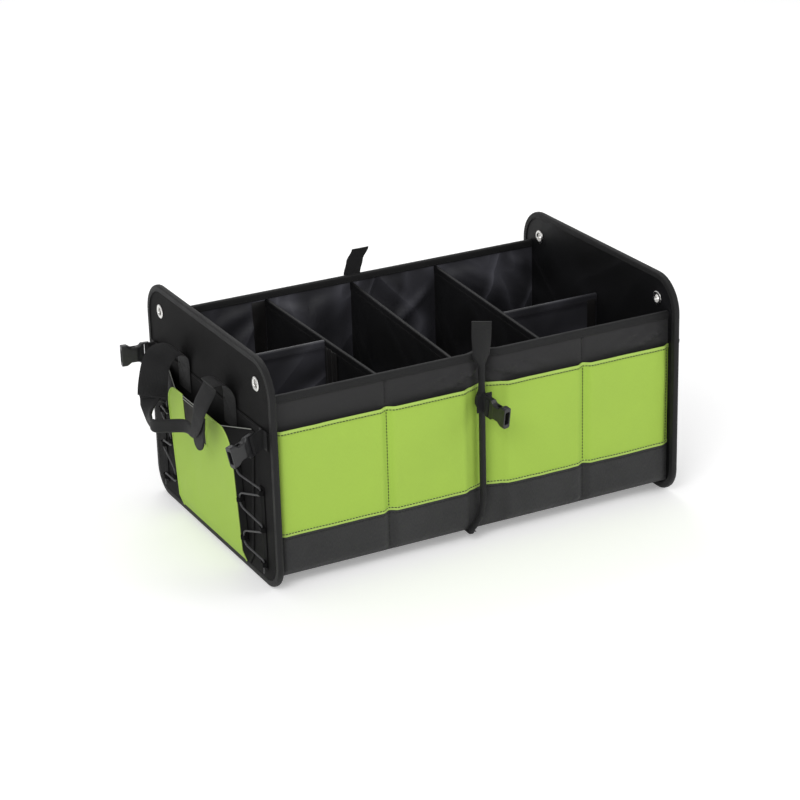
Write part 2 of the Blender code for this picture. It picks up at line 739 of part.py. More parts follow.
def socket_buckle(name, finishes):
    """The socket half of a side-release buckle."""
    full, neck = BUCKLE_HALF_WIDTH, BUCKLE_NECK_HALF_WIDTH
    thin, thick = BUCKLE_BASE_HALF, BUCKLE_HEAD_HALF
    start, end = BUCKLE_BODY_START, BUCKLE_REACH
    taper = BUCKLE_TAPER
    sections = [
        chamfered(start, full, thin),
        chamfered(start + SHOULDER_END, full, thin + taper),
        chamfered(start + (SHOULDER_END + NECK_START) / 2, neck + taper, thick - taper),
        chamfered(start + NECK_START, neck, thick),
        chamfered(end - NECK_FLARE, neck, thick),
        chamfered(end - (NECK_FLARE + HEAD_START) / 2, full - 2 * taper, thick),
        chamfered(end - HEAD_START, full, thick),
        chamfered(end, full, thick),
    ]
    body = buckle_base(name, sections, finishes)
    inside = neck - BUCKLE_WALL
    floor = thick - BUCKLE_WALL
    mouth = box_helper(f"{name}_mouth_cutter", (end - SOCKET_DEPTH, -inside, -floor),
                       (end + BUCKLE_WALL, inside, floor), finishes)
    window = box_helper(f"{name}_window_cutter", (end - WINDOW_FAR, -full, WINDOW_RIM - floor),
                        (end - WINDOW_NEAR, full, floor - WINDOW_RIM), finishes)
    join_helper(body, mouth, "DIFFERENCE")
    join_helper(body, window, "DIFFERENCE")
    return body


def prong_buckle(name, finishes):
    """The pronged half of a side-release buckle."""
    full, end = BUCKLE_HALF_WIDTH, BUCKLE_REACH
    start = BUCKLE_BODY_START
    thick = BUCKLE_BASE_HALF + BUCKLE_TAPER
    shoulder = start + PRONG_SHOULDER
    body = buckle_base(name, [
        chamfered(start, full, BUCKLE_BASE_HALF),
        chamfered(shoulder - PRONG_BODY_ROUND, full, thick),
        chamfered(shoulder, full - BUCKLE_HEAD_HALF / 2, thick),
    ], finishes)
    back = shoulder - BUCKLE_ARM_OVERLAP
    low, high = PRONG_ROOT
    barb, tip = PRONG_BARB_WIDTH, PRONG_TIP
    prong = [
        (back, low), (back, high), (shoulder + PRONG_NECK_END, high + BUCKLE_TAPER),
        (shoulder + PRONG_BARB[0], barb), (shoulder + PRONG_BARB[1], barb),
        (end - PRONG_NOSE, (barb + tip) / 2 - BUCKLE_ARM), (end, tip),
        (end - PRONG_NOSE_CUT, tip - BUCKLE_ARM), (end - PRONG_INSIDE, tip),
    ]
    guide = [(back, -GUIDE_HALF), (end - GUIDE_BACK, -GUIDE_TIP_HALF),
             (end - GUIDE_BACK, GUIDE_TIP_HALF), (back, GUIDE_HALF)]
    shapes = {"prong_low": [(x, -y) for x, y in prong], "prong_high": prong, "guide": guide}
    for label, outline in shapes.items():
        piece = plate(f"{name}_{label}_helper", outline, "Z", -PRONG_HALF, PRONG_HALF, finishes["buckle"])
        join_helper(body, piece, "UNION")
    return body


def hang_buckle(buckle, frame, reach, swing):
    """Puts a buckle on its bar, turned round the bar by a swing angle."""
    turn = Matrix.Rotation(swing, 4, "Y")
    buckle.matrix_world = frame @ Matrix.Translation((reach, 0, 0)) @ turn


def buckles(finishes):
    """All six buckle halves with the webbing tabs that hold them."""
    front_face = WALL_HALF_DEPTH + STRAP_STAND_OFF + WEBBING_THICK / 2
    rear_face = WALL_HALF_DEPTH + GAP + BINDING_CLOTH + STRAP_REAR_STAND_OFF + WEBBING_THICK / 2
    left_face = END_OUTER_X + GAP + BACKING_CLOTH
    strap_x = STRAP_X + STRAP_OFF_FOLD
    places = (
        # name, maker, root, outward, lean of the tab in its plane, swing round the bar, reach
        ("front", socket_buckle, (strap_x, -front_face, WALL_TAB_Z), (0, -1, 0), -10, 12, FRONT_TAB_REACH),
        ("rear", prong_buckle, (strap_x, rear_face, WALL_TAB_Z), (0, 1, 0), -10, 0, REAR_TAB_REACH),
        ("left_front", socket_buckle, (-left_face, -END_TAB_Y, END_TAB_Z), (-1, 0, 0), -12, 16,
         END_TAB_REACH),
        ("left_rear", socket_buckle, (-left_face, END_TAB_Y, LEFT_REAR_TAB_Z), (-1, 0, 0), 0, -8,
         LEFT_REAR_TAB_REACH),
        ("right_front", prong_buckle, (END_OUTER_X, -END_TAB_Y, END_TAB_Z), (1, 0, 0), -12,
         RIGHT_FRONT_SWING, RIGHT_FRONT_TAB_REACH),
        ("right_rear", prong_buckle, (END_OUTER_X, END_TAB_Y, END_TAB_Z), (1, 0, 0), -12, 0,
         END_TAB_REACH),
    )
    for place, maker, root, outward, lean, swing, reach in places:
        lean = math.radians(lean)
        buckle_tab(f"{place}_buckle_tab", root, outward, lean, reach, finishes)
        buckle = maker(f"{place}_buckle", finishes)
        hang_buckle(buckle, tab_frame(root, outward, lean), reach, math.radians(swing))


def handle_leg(face, out, grip_z):
    """Keys of one half of a handle, from its sewn end to the middle of its grip, on the +Y side."""
    leg, top, wide, thin = HANDLE_LEG_Y, HANDLE_TOP, HANDLE_WIDTH, HANDLE_CLOTH
    rise = HANDLE_LIFT
    folding = (HANDLE_CLOTH + GRIP_THICK) / 2
    return [
        # x, y, z, width direction (x, y, z), width, thickness
        (face, leg + HANDLE_SPLAY, HANDLE_SEWN_BOTTOM, 0, 1, 0, wide, thin),
        (face, leg + HANDLE_SPLAY, top - rise, 0, 1, 0, wide, thin),
        (face + 0.5 * rise, leg, top - 0.1 * rise, 0, 1, 0, wide, thin),
        (face + 1.3 * rise, leg, top, 0, 1, 0, wide, thin),
        (out - 0.9 * rise, leg, top - 0.3 * rise, 0, 1, -0.05, wide, thin),
        (out - 0.2 * rise, leg, top - 1.5 * rise, 0, 0.97, -0.24, 0.88 * wide, 0.8 * folding),
        (out, leg - 0.25 * rise, grip_z + rise, 0, 0.80, -0.60, 0.66 * wide, folding),
        (out, leg - 1.05 * rise, grip_z + 0.15 * rise, 0, 0.2, -0.98, GRIP_WIDTH, GRIP_THICK),
        (out, GRIP_HALF_LENGTH, grip_z, 0, 0, -1, GRIP_WIDTH, GRIP_THICK),
    ]


def slack_handle_leg(face, out, grip_z):
    """Keys of the handle's rear half, which hangs slack and turns its outer edge down and out."""
    leg, top, wide, thin = HANDLE_LEG_Y, HANDLE_TOP, HANDLE_WIDTH, HANDLE_CLOTH
    rise = HANDLE_LIFT
    folding = (HANDLE_CLOTH + GRIP_THICK) / 2
    return [
        (face, leg + HANDLE_SPLAY, HANDLE_SEWN_BOTTOM, 0, 1, 0, wide, thin),
        (face, leg + HANDLE_SPLAY, top - 1.2 * rise, 0, 1, 0, wide, thin),
        (face + 0.4 * rise, leg + 0.1 * rise, top - 0.3 * rise, 0.12, 0.98, 0.10, wide, thin),
        (face + 1.2 * rise, leg, top - 0.1 * rise, 0.28, 0.93, 0.25, wide, thin),
        (out - 1.3 * rise, leg - 0.1 * rise, top - 0.6 * rise, 0.58, 0.70, 0.42, wide, thin),
        (out - 0.9 * rise, leg - 0.15 * rise, top - 2.0 * rise, 0.83, 0.53, 0.17, wide, thin),
        (out - 0.75 * rise, leg - 0.25 * rise, top - 2.95 * rise, 0.88, 0.46, 0, wide, 0.8 * folding),
        (out - 0.45 * rise, leg - 0.5 * rise, grip_z + 0.85 * rise, 0.70, 0.42, -0.55, 0.8 * wide, folding),
        (out - 0.15 * rise, leg - 1.05 * rise, grip_z + 0.3 * rise, 0.30, 0.30, -0.90, 0.6 * wide, GRIP_THICK),
        (out, leg - 1.65 * rise, grip_z + 0.05 * rise, 0, 0.12, -0.99, GRIP_WIDTH, GRIP_THICK),
        (out, GRIP_HALF_LENGTH, grip_z, 0, 0, -1, GRIP_WIDTH, GRIP_THICK),
    ]


def handle(side_name, side, finishes):
    """A carrying handle of wide webbing, folded in half along its grip."""
    face = END_OUTER_X + GAP + HANDLE_CLOTH / 2
    if side < 0:
        face += GAP + BACKING_CLOTH
    out = END_OUTER_X + HANDLE_REACH
    rear = slack_handle_leg(face, out, GRIP_Z)
    front = [
        (x, -y, z, wx, -wy, wz, wide, thick)
        for x, y, z, wx, wy, wz, wide, thick in handle_leg(face, out - GRIP_SKEW, GRIP_Z + GRIP_TILT)
    ]
    route = smooth_route(rear + front[::-1], HANDLE_STEPS)
    clamped = [(max(face, x), *rest) for x, *rest in route]
    loft(f"{side_name}_handle", ribbon_sections(clamped, side), finishes["webbing"])


def ribbon_sections(route, side):
    """Rectangular sections across a ribbon that follows a route of keys."""
    middles = [Vector((side * key[0], key[1], key[2])) for key in route]
    sections = []
    for i, key in enumerate(route):
        before = middles[max(0, i - 1)]
        after = middles[min(len(middles) - 1, i + 1)]
        forward = (after - before).normalized()
        width = Vector((side * key[3], key[4], key[5]))
        width = (width - forward * width.dot(forward)).normalized()
        face = forward.cross(width)
        w, t = width * key[6] / 2, face * key[7] / 2
        sections.append([middles[i] - w - t, middles[i] + w - t, middles[i] + w + t, middles[i] - w + t])
    return sections


def end_pocket_out(z):
    """How far the end pocket stands off its backing at some height."""
    if z <= END_POCKET_FOOT:
        share = (z - END_POCKET_BOTTOM) / (END_POCKET_FOOT - END_POCKET_BOTTOM)
        return END_POCKET_FOOT_OUT * max(0.0, share)
    share = (z - END_POCKET_FOOT) / (END_POCKET_TOP - END_POCKET_FOOT)
    return END_POCKET_FOOT_OUT + (END_POCKET_TOP_OUT - END_POCKET_FOOT_OUT) * share


def end_pocket_half(z):
    """Half width of the end pocket's face, with rounded top corners."""
    share = max(0.0, 1 - (END_POCKET_TOP - z) / END_POCKET_CORNER)
    return END_POCKET_HALF - END_POCKET_CORNER_INSET * (1 - math.sqrt(1 - share**2))


def end_pocket_point(y, z):
    """A point on the middle of the end pocket's face cloth."""
    seat = END_OUTER_X + GAP + BACKING_CLOTH + GAP + POCKET_CLOTH / 2
    return (-seat - end_pocket_out(z), y, z)


def end_pocket(finishes):
    """The pocket on the left end: backing, face, dark insert and two side gussets."""
    low = BINDING_LEG + GAP
    half = PANEL_WIDTH / 2 - low
    radius = PANEL_BOTTOM_RADIUS - low
    outline = (
        arc((half - radius, low + radius), radius, -90, 0, CORNER_STEPS)
        + [(half, BACKING_TOP), (-half, BACKING_TOP)]
        + arc((radius - half, low + radius), radius, 180, 270, CORNER_STEPS)
    )
    level = -END_OUTER_X - GAP
    plate("left_end_lower_panel", outline, "X", level, level - BACKING_CLOTH, finishes["black_cloth"])

    heights = [END_POCKET_TOP - share * END_POCKET_CORNER for share in (0, 0.1, 0.3, 0.6, 1)]
    heights += [NOTCH_BOTTOM, END_POCKET_FOOT, END_POCKET_BOTTOM]
    pocket_face(heights, finishes)
    insert_heights = [END_POCKET_TOP - BINDING_CLOTH, NOTCH_BOTTOM + GAP]
    rows = [[end_pocket_point(y, z) for y in (NOTCH_Y[0] + GAP, NOTCH_Y[1] - GAP)] for z in insert_heights]
    sheet("end_pocket_mesh_insert", rows, POCKET_CLOTH, finishes["lining"])
    for place, side in (("front", -1), ("rear", 1)):
        gusset(place, side, heights, finishes)
        lacing(place, side, finishes)


def pocket_face(heights, finishes):
    """The coloured face of the end pocket, with a notch for the dark insert."""
    bm = bmesh.new()
    rows = []
    for z in heights:
        half = end_pocket_half(z)
        rows.append([bm.verts.new(end_pocket_point(y, z)) for y in (-half, *NOTCH_Y, half)])
    for z, upper, lower in zip(heights, rows, rows[1:]):
        for i in range(3):
            if i == 1 and z > NOTCH_BOTTOM + GAP:
                continue
            bm.faces.new((upper[i], upper[i + 1], lower[i + 1], lower[i]))
    face = add_object("end_pocket_face", bm, finishes["green_cloth"])
    thicken(face, POCKET_CLOTH)


def gusset_row(side, z):
    """The gusset's edge at the pocket's face and its seam on the end panel, at some height."""
    seat = END_OUTER_X + GAP + BACKING_CLOTH + GAP + POCKET_CLOTH / 2
    out = end_pocket_out(z)
    edge = end_pocket_half(z) + POCKET_CLOTH + GAP
    share = max(0.0, z - END_POCKET_FOOT) / (END_POCKET_TOP - END_POCKET_FOOT)
    seam = END_POCKET_HALF + POCKET_CLOTH + GAP + GUSSET_SPREAD * out
    return (
        Vector((-seat - out, side * edge, z)),
        Vector((-seat, side * seam, z + GUSSET_RISE * share)),
    )


def gusset(place, side, heights, finishes):
    """A folded cloth side of the end pocket, from its face back to the end panel."""
    flange = Vector((0, side * GUSSET_FLANGE, 0))
    rows = []
    for z in heights:
        edge, seam = gusset_row(side, z)
        rows.append([edge, seam, seam + flange])
    sheet(f"end_pocket_gusset_{place}", rows, POCKET_CLOTH, finishes["black_cloth"])


def pocket_rail(side, z):
    """Seat of the pocket's loop tape at some height: a point, its across and its outward direction."""
    edge, seam = gusset_row(side, z)
    lower = gusset_row(side, END_POCKET_FOOT)[0]
    across = (seam - edge).normalized()
    outward = across.cross(lower - edge).normalized() * side
    return edge + across * LACE_POCKET_IN + outward * (POCKET_CLOTH / 2 + GAP), across * side, outward


def panel_rail(side, z):
    """Seat of the end panel's loop tape at some height, in the same form as the pocket's."""
    seat = END_OUTER_X + GAP + BACKING_CLOTH + GAP
    return Vector((-seat, side * LACE_PANEL_Y, z)), Vector((0, 1, 0)), Vector((-1, 0, 0))


def loop_outline():
    """Outline of a cloth loop seen along its tunnel: how far out of the tape, how far across it."""
    base, foot_top = LOOP_CLOTH / 2, 2 * LOOP_CLOTH
    roof = LOOP_CLOTH + LOOP_INSIDE
    crown = LOOP_HALF - LOOP_FOOT
    hollow = crown - LOOP_CLOTH
    return [
        (base, -LOOP_HALF), (base, -hollow), (roof, LOOP_ROUND - hollow), (roof, hollow - LOOP_ROUND),
        (base, hollow), (base, LOOP_HALF), (foot_top, LOOP_HALF), (roof + LOOP_CLOTH, crown - LOOP_ROUND),
        (roof + LOOP_CLOTH, LOOP_ROUND - crown), (foot_top, -LOOP_HALF),
    ]


def loop_tape(name, side, rail, heights, finish):
    """A tape with a cloth loop at each height, standing on a rail."""

    def section(outline, z):
        seat, across, outward = rail(side, z)
        return [seat + outward * out + across * sideways for out, sideways in outline]

    margin = LOOP_HEIGHT / 2 + TAPE_END
    strip = [(0, -LOOP_HALF), (LOOP_CLOTH, -LOOP_HALF), (LOOP_CLOTH, LOOP_HALF), (0, LOOP_HALF)]
    ends = (heights[-1] - margin, heights[0] + margin)
    tape = loft(name, [section(strip, z) for z in ends], finish)
    for number, height in enumerate(heights):
        ends = (height - LOOP_HEIGHT / 2, height + LOOP_HEIGHT / 2)
        loop = loft(f"{name}_helper_{number}", [section(loop_outline(), z) for z in ends], finish)
        join_helper(tape, loop, "UNION")


def rounded_route(points, radius, steps):
    """A polyline with its corners rounded off."""
    found = [points[0]]
    for before, corner, after in zip(points, points[1:], points[2:]):
        start = corner + (before - corner).normalized() * radius
        end = corner + (after - corner).normalized() * radius
        for i in range(steps + 1):
            t = i / steps
            found.append(start * (1 - t) ** 2 + corner * 2 * t * (1 - t) + end * t**2)
    found.append(points[-1])
    return found


def lacing(place, side, finishes):
    """The two loop tapes and the elastic cord on one side of the end pocket."""
    loop_tape(f"end_pocket_loops_{place}", side, pocket_rail, LACE_POCKET_Z, finishes["webbing"])
    loop_tape(f"end_panel_loops_{place}", side, panel_rail, LACE_PANEL_Z, finishes["webbing"])
    corner = LOOP_HEIGHT / 2 + LACE_TURN
    points = []
    for pocket_z, panel_z in zip(LACE_POCKET_Z, LACE_PANEL_Z):
        for rail, height in ((pocket_rail, pocket_z), (panel_rail, panel_z)):
            for z in (height + corner, height - corner):
                seat, across, outward = rail(side, z)
                points.append(seat + outward * (LOOP_CLOTH + LOOP_INSIDE / 2))
    points[0] = points[0] + Vector((0, 0, LACE_TAIL))
    points[-1] = points[-1] - Vector((0, 0, LACE_TAIL))
    lace(f"end_pocket_lace_{place}", rounded_route(points, LACE_TURN, LACE_STEPS), finishes["lace"])


def lace(name, route, finish):
    """A round elastic cord along a route."""
    curve = bpy.data.curves.new(name, "CURVE")
    curve.dimensions = "3D"
    curve.bevel_depth = LACE_R
    curve.bevel_resolution = 2
    curve.use_fill_caps = True
    spline = curve.splines.new("POLY")
    spline.points.add(len(route) - 1)
    for point, place in zip(spline.points, route):
        point.co = (*place, 1.0)
    curve.materials.append(finish)
    bpy.context.scene.collection.objects.link(bpy.data.objects.new(name, curve))


def main():
    """Builds the whole organizer."""
    for obj in list(bpy.data.objects):
        bpy.data.objects.remove(obj)
    finishes = {
        "black_cloth": material("black_cloth", (0.035, 0.034, 0.035), 0.75),
        "green_cloth": material("green_cloth", (0.38, 0.58, 0.10), 0.70),
        "lining": material("lining", (0.022, 0.022, 0.026), 0.55),
        "binding": material("binding", (0.050, 0.050, 0.052), 0.65),
        "board": material("board", (0.45, 0.40, 0.32), 0.80),
        "webbing": material("webbing", (0.026, 0.026, 0.028), 0.70),
        "lace": material("lace", (0.030, 0.030, 0.031), 0.60),
        "buckle": material("buckle", (0.020, 0.020, 0.021), 0.40),
        "steel": material("steel", (0.80, 0.80, 0.80), 0.25, 1.0),
    }
    cutter = eyelet_hole_cutter(finishes["steel"])
    for side_name, side in (("left", -1), ("right", 1)):
        end_panel(side_name, side, finishes, cutter)
        for place, y in (("front", -EYELET_Y), ("rear", EYELET_Y)):
            eyelet(f"{side_name}_eyelet_{place}", side, y, finishes)
        handle(side_name, side, finishes)
    front_wall(finishes)
    rear_wall(finishes)
    rim_binding("front", -1, finishes)
    rim_binding("rear", 1, finishes)
    front_pockets(finishes)
    base(finishes)
    dividers(finishes)
    centre_strap(finishes)
    buckles(finishes)
    end_pocket(finishes)


main()
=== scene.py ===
"""Visual model of a folding car boot organizer: cloth walls, dividers, pockets, straps, buckles and handles."""
import logging
import math
from dataclasses import dataclass
from enum import Enum
from functools import cache
from itertools import accumulate
from typing import Callable, Sequence

import bmesh
import bpy
from mathutils import Matrix, Vector, noise


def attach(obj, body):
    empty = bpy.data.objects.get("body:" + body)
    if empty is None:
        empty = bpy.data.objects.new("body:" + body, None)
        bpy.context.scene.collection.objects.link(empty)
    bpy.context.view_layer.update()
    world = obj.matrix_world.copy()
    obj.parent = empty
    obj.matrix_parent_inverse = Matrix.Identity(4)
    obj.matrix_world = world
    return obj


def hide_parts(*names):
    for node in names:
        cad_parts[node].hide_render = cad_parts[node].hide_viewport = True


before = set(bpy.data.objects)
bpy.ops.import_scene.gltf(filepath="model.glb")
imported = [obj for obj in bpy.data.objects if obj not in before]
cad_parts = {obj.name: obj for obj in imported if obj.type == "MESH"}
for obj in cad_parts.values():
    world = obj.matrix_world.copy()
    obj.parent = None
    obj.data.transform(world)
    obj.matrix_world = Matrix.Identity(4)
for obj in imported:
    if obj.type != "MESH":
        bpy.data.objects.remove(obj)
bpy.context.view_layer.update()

LOG = logging.getLogger("organizer")
Colour = tuple[float, float, float]
Key = tuple[float, ...]
Profile = list[tuple[float, float]]
Obj = bpy.types.Object
Relief = Callable[[float, float], float]
Rows = list[list[Vector]]
Seam = tuple[Sequence[Vector], Vector]
Socket = bpy.types.NodeSocket
Value = float | Socket

FOLD_ANGLE, SOFT_ANGLE, ROUND_ANGLE = 38.0, 50.0, 60.0
WEB_EDGE = 0.0004
UPRIGHT_STEP, UPRIGHT_THICK, UPRIGHT_EDGE = 0.0017, 0.0009, 0.0002
LIFT = 0.0001
FRONTWARD, LEFTWARD = Vector((0, -1, 0)), Vector((-1, 0, 0))


class Side(Enum):
    """The two ends of the organizer, each with the sign of its X."""

    LEFT = -1
    RIGHT = 1


class Wall(Enum):
    """The two long walls, each with the sign of its Y."""

    FRONT = -1
    REAR = 1


class Lay(Enum):
    """Where a finish takes its pattern from."""

    CLOTH = "UV"
    SOLID = "Object"


# ---------------------------------------------------------------- finishes


class Graph:
    """Writes the shader nodes of one material."""

    def __init__(self, name: str) -> None:
        """Starts a material with a Principled shader.

        Args:
            name: Name of the material.
        """
        self.made = bpy.data.materials.new(name)
        self.made.use_nodes = True
        self.tree = self.made.node_tree
        self.shader = self.tree.nodes["Principled BSDF"]

    def node(self, kind: str, inputs: dict[str | int, Value | Sequence[float]], **settings: str) -> bpy.types.Node:
        """Adds a node.

        Args:
            kind: Blender's name of the node, after the word ShaderNode.
            inputs: What its inputs are linked or set to.
            settings: Its other settings.

        Returns:
            The new node.
        """
        made = self.tree.nodes.new(f"ShaderNode{kind}")
        for name, value in settings.items():
            setattr(made, name, value)
        self.feed(made, inputs)
        return made

    def feed(self, node: bpy.types.Node, inputs: dict[str | int, Value | Sequence[float]]) -> None:
        """Links a node's inputs to sockets, or sets their values.

        Args:
            node: The node.
            inputs: Sockets or values by the names of its inputs.
        """
        for name, value in inputs.items():
            if isinstance(value, Socket):
                self.tree.links.new(value, node.inputs[name])
            else:
                node.inputs[name].default_value = value

    def math(self, operation: str, first: Value, second: Value = 0.0) -> Socket:
        """Adds one sum of two values, by Blender's name of the operation."""
        return self.node("Math", {0: first, 1: second}, operation=operation).outputs[0]

    def places(self, lay: Lay) -> Socket:
        """Gives the coordinates in metres that a pattern is laid out on."""
        return self.node("TexCoord", {}).outputs[lay.value]

    def axes(self, places: Socket) -> Sequence[Socket]:
        """Splits coordinates into their three numbers."""
        return self.node("SeparateXYZ", {0: places}).outputs

    def cloud(self, places: Socket, scale: Sequence[float], detail: float = 2.0, kind: str = "FBM",
              twist: float = 0.0, turn: float = 0.0) -> Socket:
        """Adds a noise.

        Args:
            places: Coordinates to lay it on.
            scale: Repeats for each metre along the three axes.
            detail: Number of finer layers.
            kind: Blender's name of the noise.
            twist: How far the noise is bent by itself.
            turn: Angle that the two first axes are turned by.

        Returns:
            The noise's value, about 0 to 1.
        """
        stretch = self.node("Mapping", {"Scale": [1 / part for part in scale], "Rotation": (0.0, 0.0, turn),
                                        "Vector": places}, vector_type="TEXTURE").outputs[0]
        return self.node("TexNoise", {"Vector": stretch, "Scale": 1.0, "Detail": detail, "Distortion": twist},
                         noise_type=kind).outputs["Fac"]

    def ribs(self, along: Value, pitch: float) -> Socket:
        """Adds even ribs over a distance in metres, from 0 in a groove to 1 on a rib."""
        wave = self.math("SINE", self.math("MULTIPLY", along, 2 * math.pi / pitch))
        return self.math("ADD", self.math("MULTIPLY", wave, 0.5), 0.5)

    def spread(self, value: Socket, low: float, high: float) -> Socket:
        """Maps a noise's middle range onto low to high."""
        return self.node("MapRange", {"Value": value, "From Min": 0.3, "From Max": 0.7, "To Min": low,
                                      "To Max": high}).outputs[0]

    def shades(self, share: Socket, colour: Colour, low: float, high: float) -> Socket:
        """Mixes a darker and a lighter shade of a colour.

        Args:
            share: 0 for the first shade and 1 for the second.
            colour: The colour.
            low: Its share in the first shade.
            high: Its share in the second shade.

        Returns:
            The mixed colour's socket.
        """
        node = self.node("Mix", {"Factor": share}, data_type="RGBA")
        for socket, strength in zip([s for s in node.inputs if s.type == "RGBA"], (low, high)):
            socket.default_value = (*(min(1.0, part * strength) for part in colour), 1.0)
        return next(s for s in node.outputs if s.type == "RGBA")

    def relief(self, height: Socket, depth: float, under: Socket | None = None) -> Socket:
        """Adds a bump from a height of 0 to 1 and its depth in metres, over another bump."""
        base = {} if under is None else {"Normal": under}
        return self.node("Bump", {"Strength": 1.0, "Distance": depth, "Height": height, **base}).outputs[0]

    def dress(self, colour: Socket, roughness: Socket, normal: Socket, **even: float) -> bpy.types.Material:
        """Links the shader's patterned inputs and sets its even ones.

        Args:
            colour: Base colour.
            roughness: Roughness.
            normal: Bumped normal.
            even: Other inputs, with underscores for the spaces in their names.

        Returns:
            The finished material.
        """
        self.feed(self.shader, {"Base Color": colour, "Roughness": roughness, "Normal": normal})
        self.feed(self.shader, {name.replace("_", " "): number for name, number in even.items()})
        return self.made


@dataclass(frozen=True)
class Finish:
    """What every finish has: its name, the record's slot that it takes after, and a colour."""

    name: str
    slot: str
    colour: Colour

    def start(self, lay: Lay) -> tuple[Graph, Socket, Sequence[Socket]]:
        """Starts the material's graph, with its coordinates whole and split in three.

        Args:
            lay: Where the pattern comes from.

        Returns:
            The graph, the coordinates and their three numbers.
        """
        g = Graph(self.name)
        places = g.places(lay)
        return g, places, g.axes(places)

    def material(self) -> bpy.types.Material:
        """Builds the material."""
        raise NotImplementedError


@dataclass(frozen=True)
class WovenCloth(Finish):
    """Plain-woven polyester with a dull face, uneven yarns and soft creases."""

    pitch: float = 0.0011
    roughness: float = 0.72
    sheen: float = 0.15
    crease: float = 0.0014
    mottle_and_painted_sheen: float = 0.10
    shine: float = 0.35

    def material(self) -> bpy.types.Material:
        """Builds the material from two crossing sets of yarns.

        Returns:
            The finished material.
        """
        g, uv, (u, v, _) = self.start(Lay.CLOTH)
        yarns = g.math("MULTIPLY", g.ribs(u, self.pitch), g.ribs(v, self.pitch))
        slubs = g.cloud(uv, (1400, 260, 1), 1.0)
        broad = g.cloud(uv, (9, 7, 1), 3.0)
        shade = g.math("ADD", g.math("MULTIPLY", g.spread(broad, 0, 1), 0.6),
                       g.math("MULTIPLY", g.spread(slubs, 0, 1), 0.4))
        folds = g.relief(g.cloud(uv, (22, 15, 1), 3.0, twist=0.6), self.crease)
        weave = g.relief(g.math("ADD", yarns, g.math("MULTIPLY", slubs, 0.35)), 0.00012, folds)
        return g.dress(g.shades(shade, self.colour, 1 - self.mottle_and_painted_sheen, 1 + self.mottle_and_painted_sheen),
                       g.spread(broad, self.roughness - 0.06, self.roughness + 0.06), weave,
                       Specular_IOR_Level=self.shine, Sheen_Weight=self.sheen, Sheen_Roughness=0.5)


@dataclass(frozen=True)
class CoatedLining(Finish):
    """Thin coated lining with a satin-like face, sharp little creases and pale bands along its folds that are painted
    highlights.
    """

    roughness: float = 0.40
    crease: float = 0.0022
    shine: float = 0.5
    # How strongly the fold bands lighten the colour, as painted highlights.
    painted_highlight: float = 2.4

    def material(self) -> bpy.types.Material:
        """Builds the material from long creases and painted highlight bands over a fine weave.

        Returns:
            The finished material.
        """
        g, uv, (u, v, _) = self.start(Lay.CLOTH)
        broad = g.cloud(uv, (6, 9, 1), 2.0, twist=1.2)
        sharp = g.cloud(uv, (17, 11, 1), 3.0, "RIDGED_MULTIFRACTAL", 0.8)
        grain = g.math("MULTIPLY", g.ribs(u, 0.0007), g.ribs(v, 0.0007))
        fold_and_highlight_bands = g.math("ADD", self.fold_and_highlight_bands(g, g.cloud(uv, (15, 4, 1), 0.6, twist=0.5, turn=0.5)),
                      self.fold_and_highlight_bands(g, g.cloud(uv, (11, 5, 1), 0.6, twist=0.7, turn=-0.7)))
        # The bands, in broad patches, lighten the colour: painted highlights of the lining's sheen.
        share = g.math("MULTIPLY", fold_and_highlight_bands, g.spread(g.cloud(uv, (7, 7, 1), 1.0), 0.0, 1.0))
        soft = g.relief(fold_and_highlight_bands, 0.8 * self.crease, g.relief(broad, self.crease))
        normal = g.relief(grain, 0.00005, g.relief(sharp, 0.12 * self.crease, soft))
        return g.dress(g.shades(share, self.colour, 0.72, self.painted_highlight),
                       g.spread(sharp, self.roughness + 0.06, self.roughness - 0.06), normal,
                       Specular_IOR_Level=self.shine, Sheen_Weight=0.02)

    def fold_and_highlight_bands(self, g: Graph, value: Socket) -> Socket:
        """Turns a noise into soft bands, from 0 to 1, used as folds in the bump and as painted highlights in the
        colour.

        Args:
            g: The material's graph.
            value: The noise.

        Returns:
            The bands' socket.
        """
        away = g.math("ABSOLUTE", g.math("SUBTRACT", value, 0.5))
        near = g.math("MAXIMUM", g.math("SUBTRACT", 1.0, g.math("MULTIPLY", away, 7.0)), 0.0)
        return g.math("POWER", near, 1.6)


@dataclass(frozen=True)
class RibbedWeb(Finish):
    """Narrow woven tape or webbing with ribs across it."""

    rib: float = 0.0014
    depth: float = 0.00025
    roughness: float = 0.62
    lay: Lay = Lay.CLOTH
    shine: float = 0.3

    def material(self) -> bpy.types.Material:
        """Builds the material from ribs and the yarns between them, with painted shade in the grooves and rib tops
        lighter, partly from wear and partly as painted highlight.

        Returns:
            The finished material.
        """
        g, places, (across, along, third) = self.start(self.lay)
        ribs = g.ribs(along if self.lay is Lay.CLOTH else third, self.rib)
        wear = g.cloud(places, (45, 30, 30), 3.0)
        # The colour is darker in the grooves and lighter on the rib tops: painted shade and painted highlight, with the
        # wear noise adding worn, lighter spots.
        top = g.math("MULTIPLY", ribs, g.spread(wear, 0.35, 1.0))
        yarns = g.relief(g.ribs(across, 0.0009), 0.3 * self.depth)
        return g.dress(g.shades(top, self.colour, 0.6, 1.7),
                       g.spread(wear, self.roughness - 0.07, self.roughness + 0.07),
                       g.relief(ribs, self.depth, yarns), Specular_IOR_Level=self.shine,
                       Sheen_Weight=0.1 * self.shine, Sheen_Roughness=0.45)


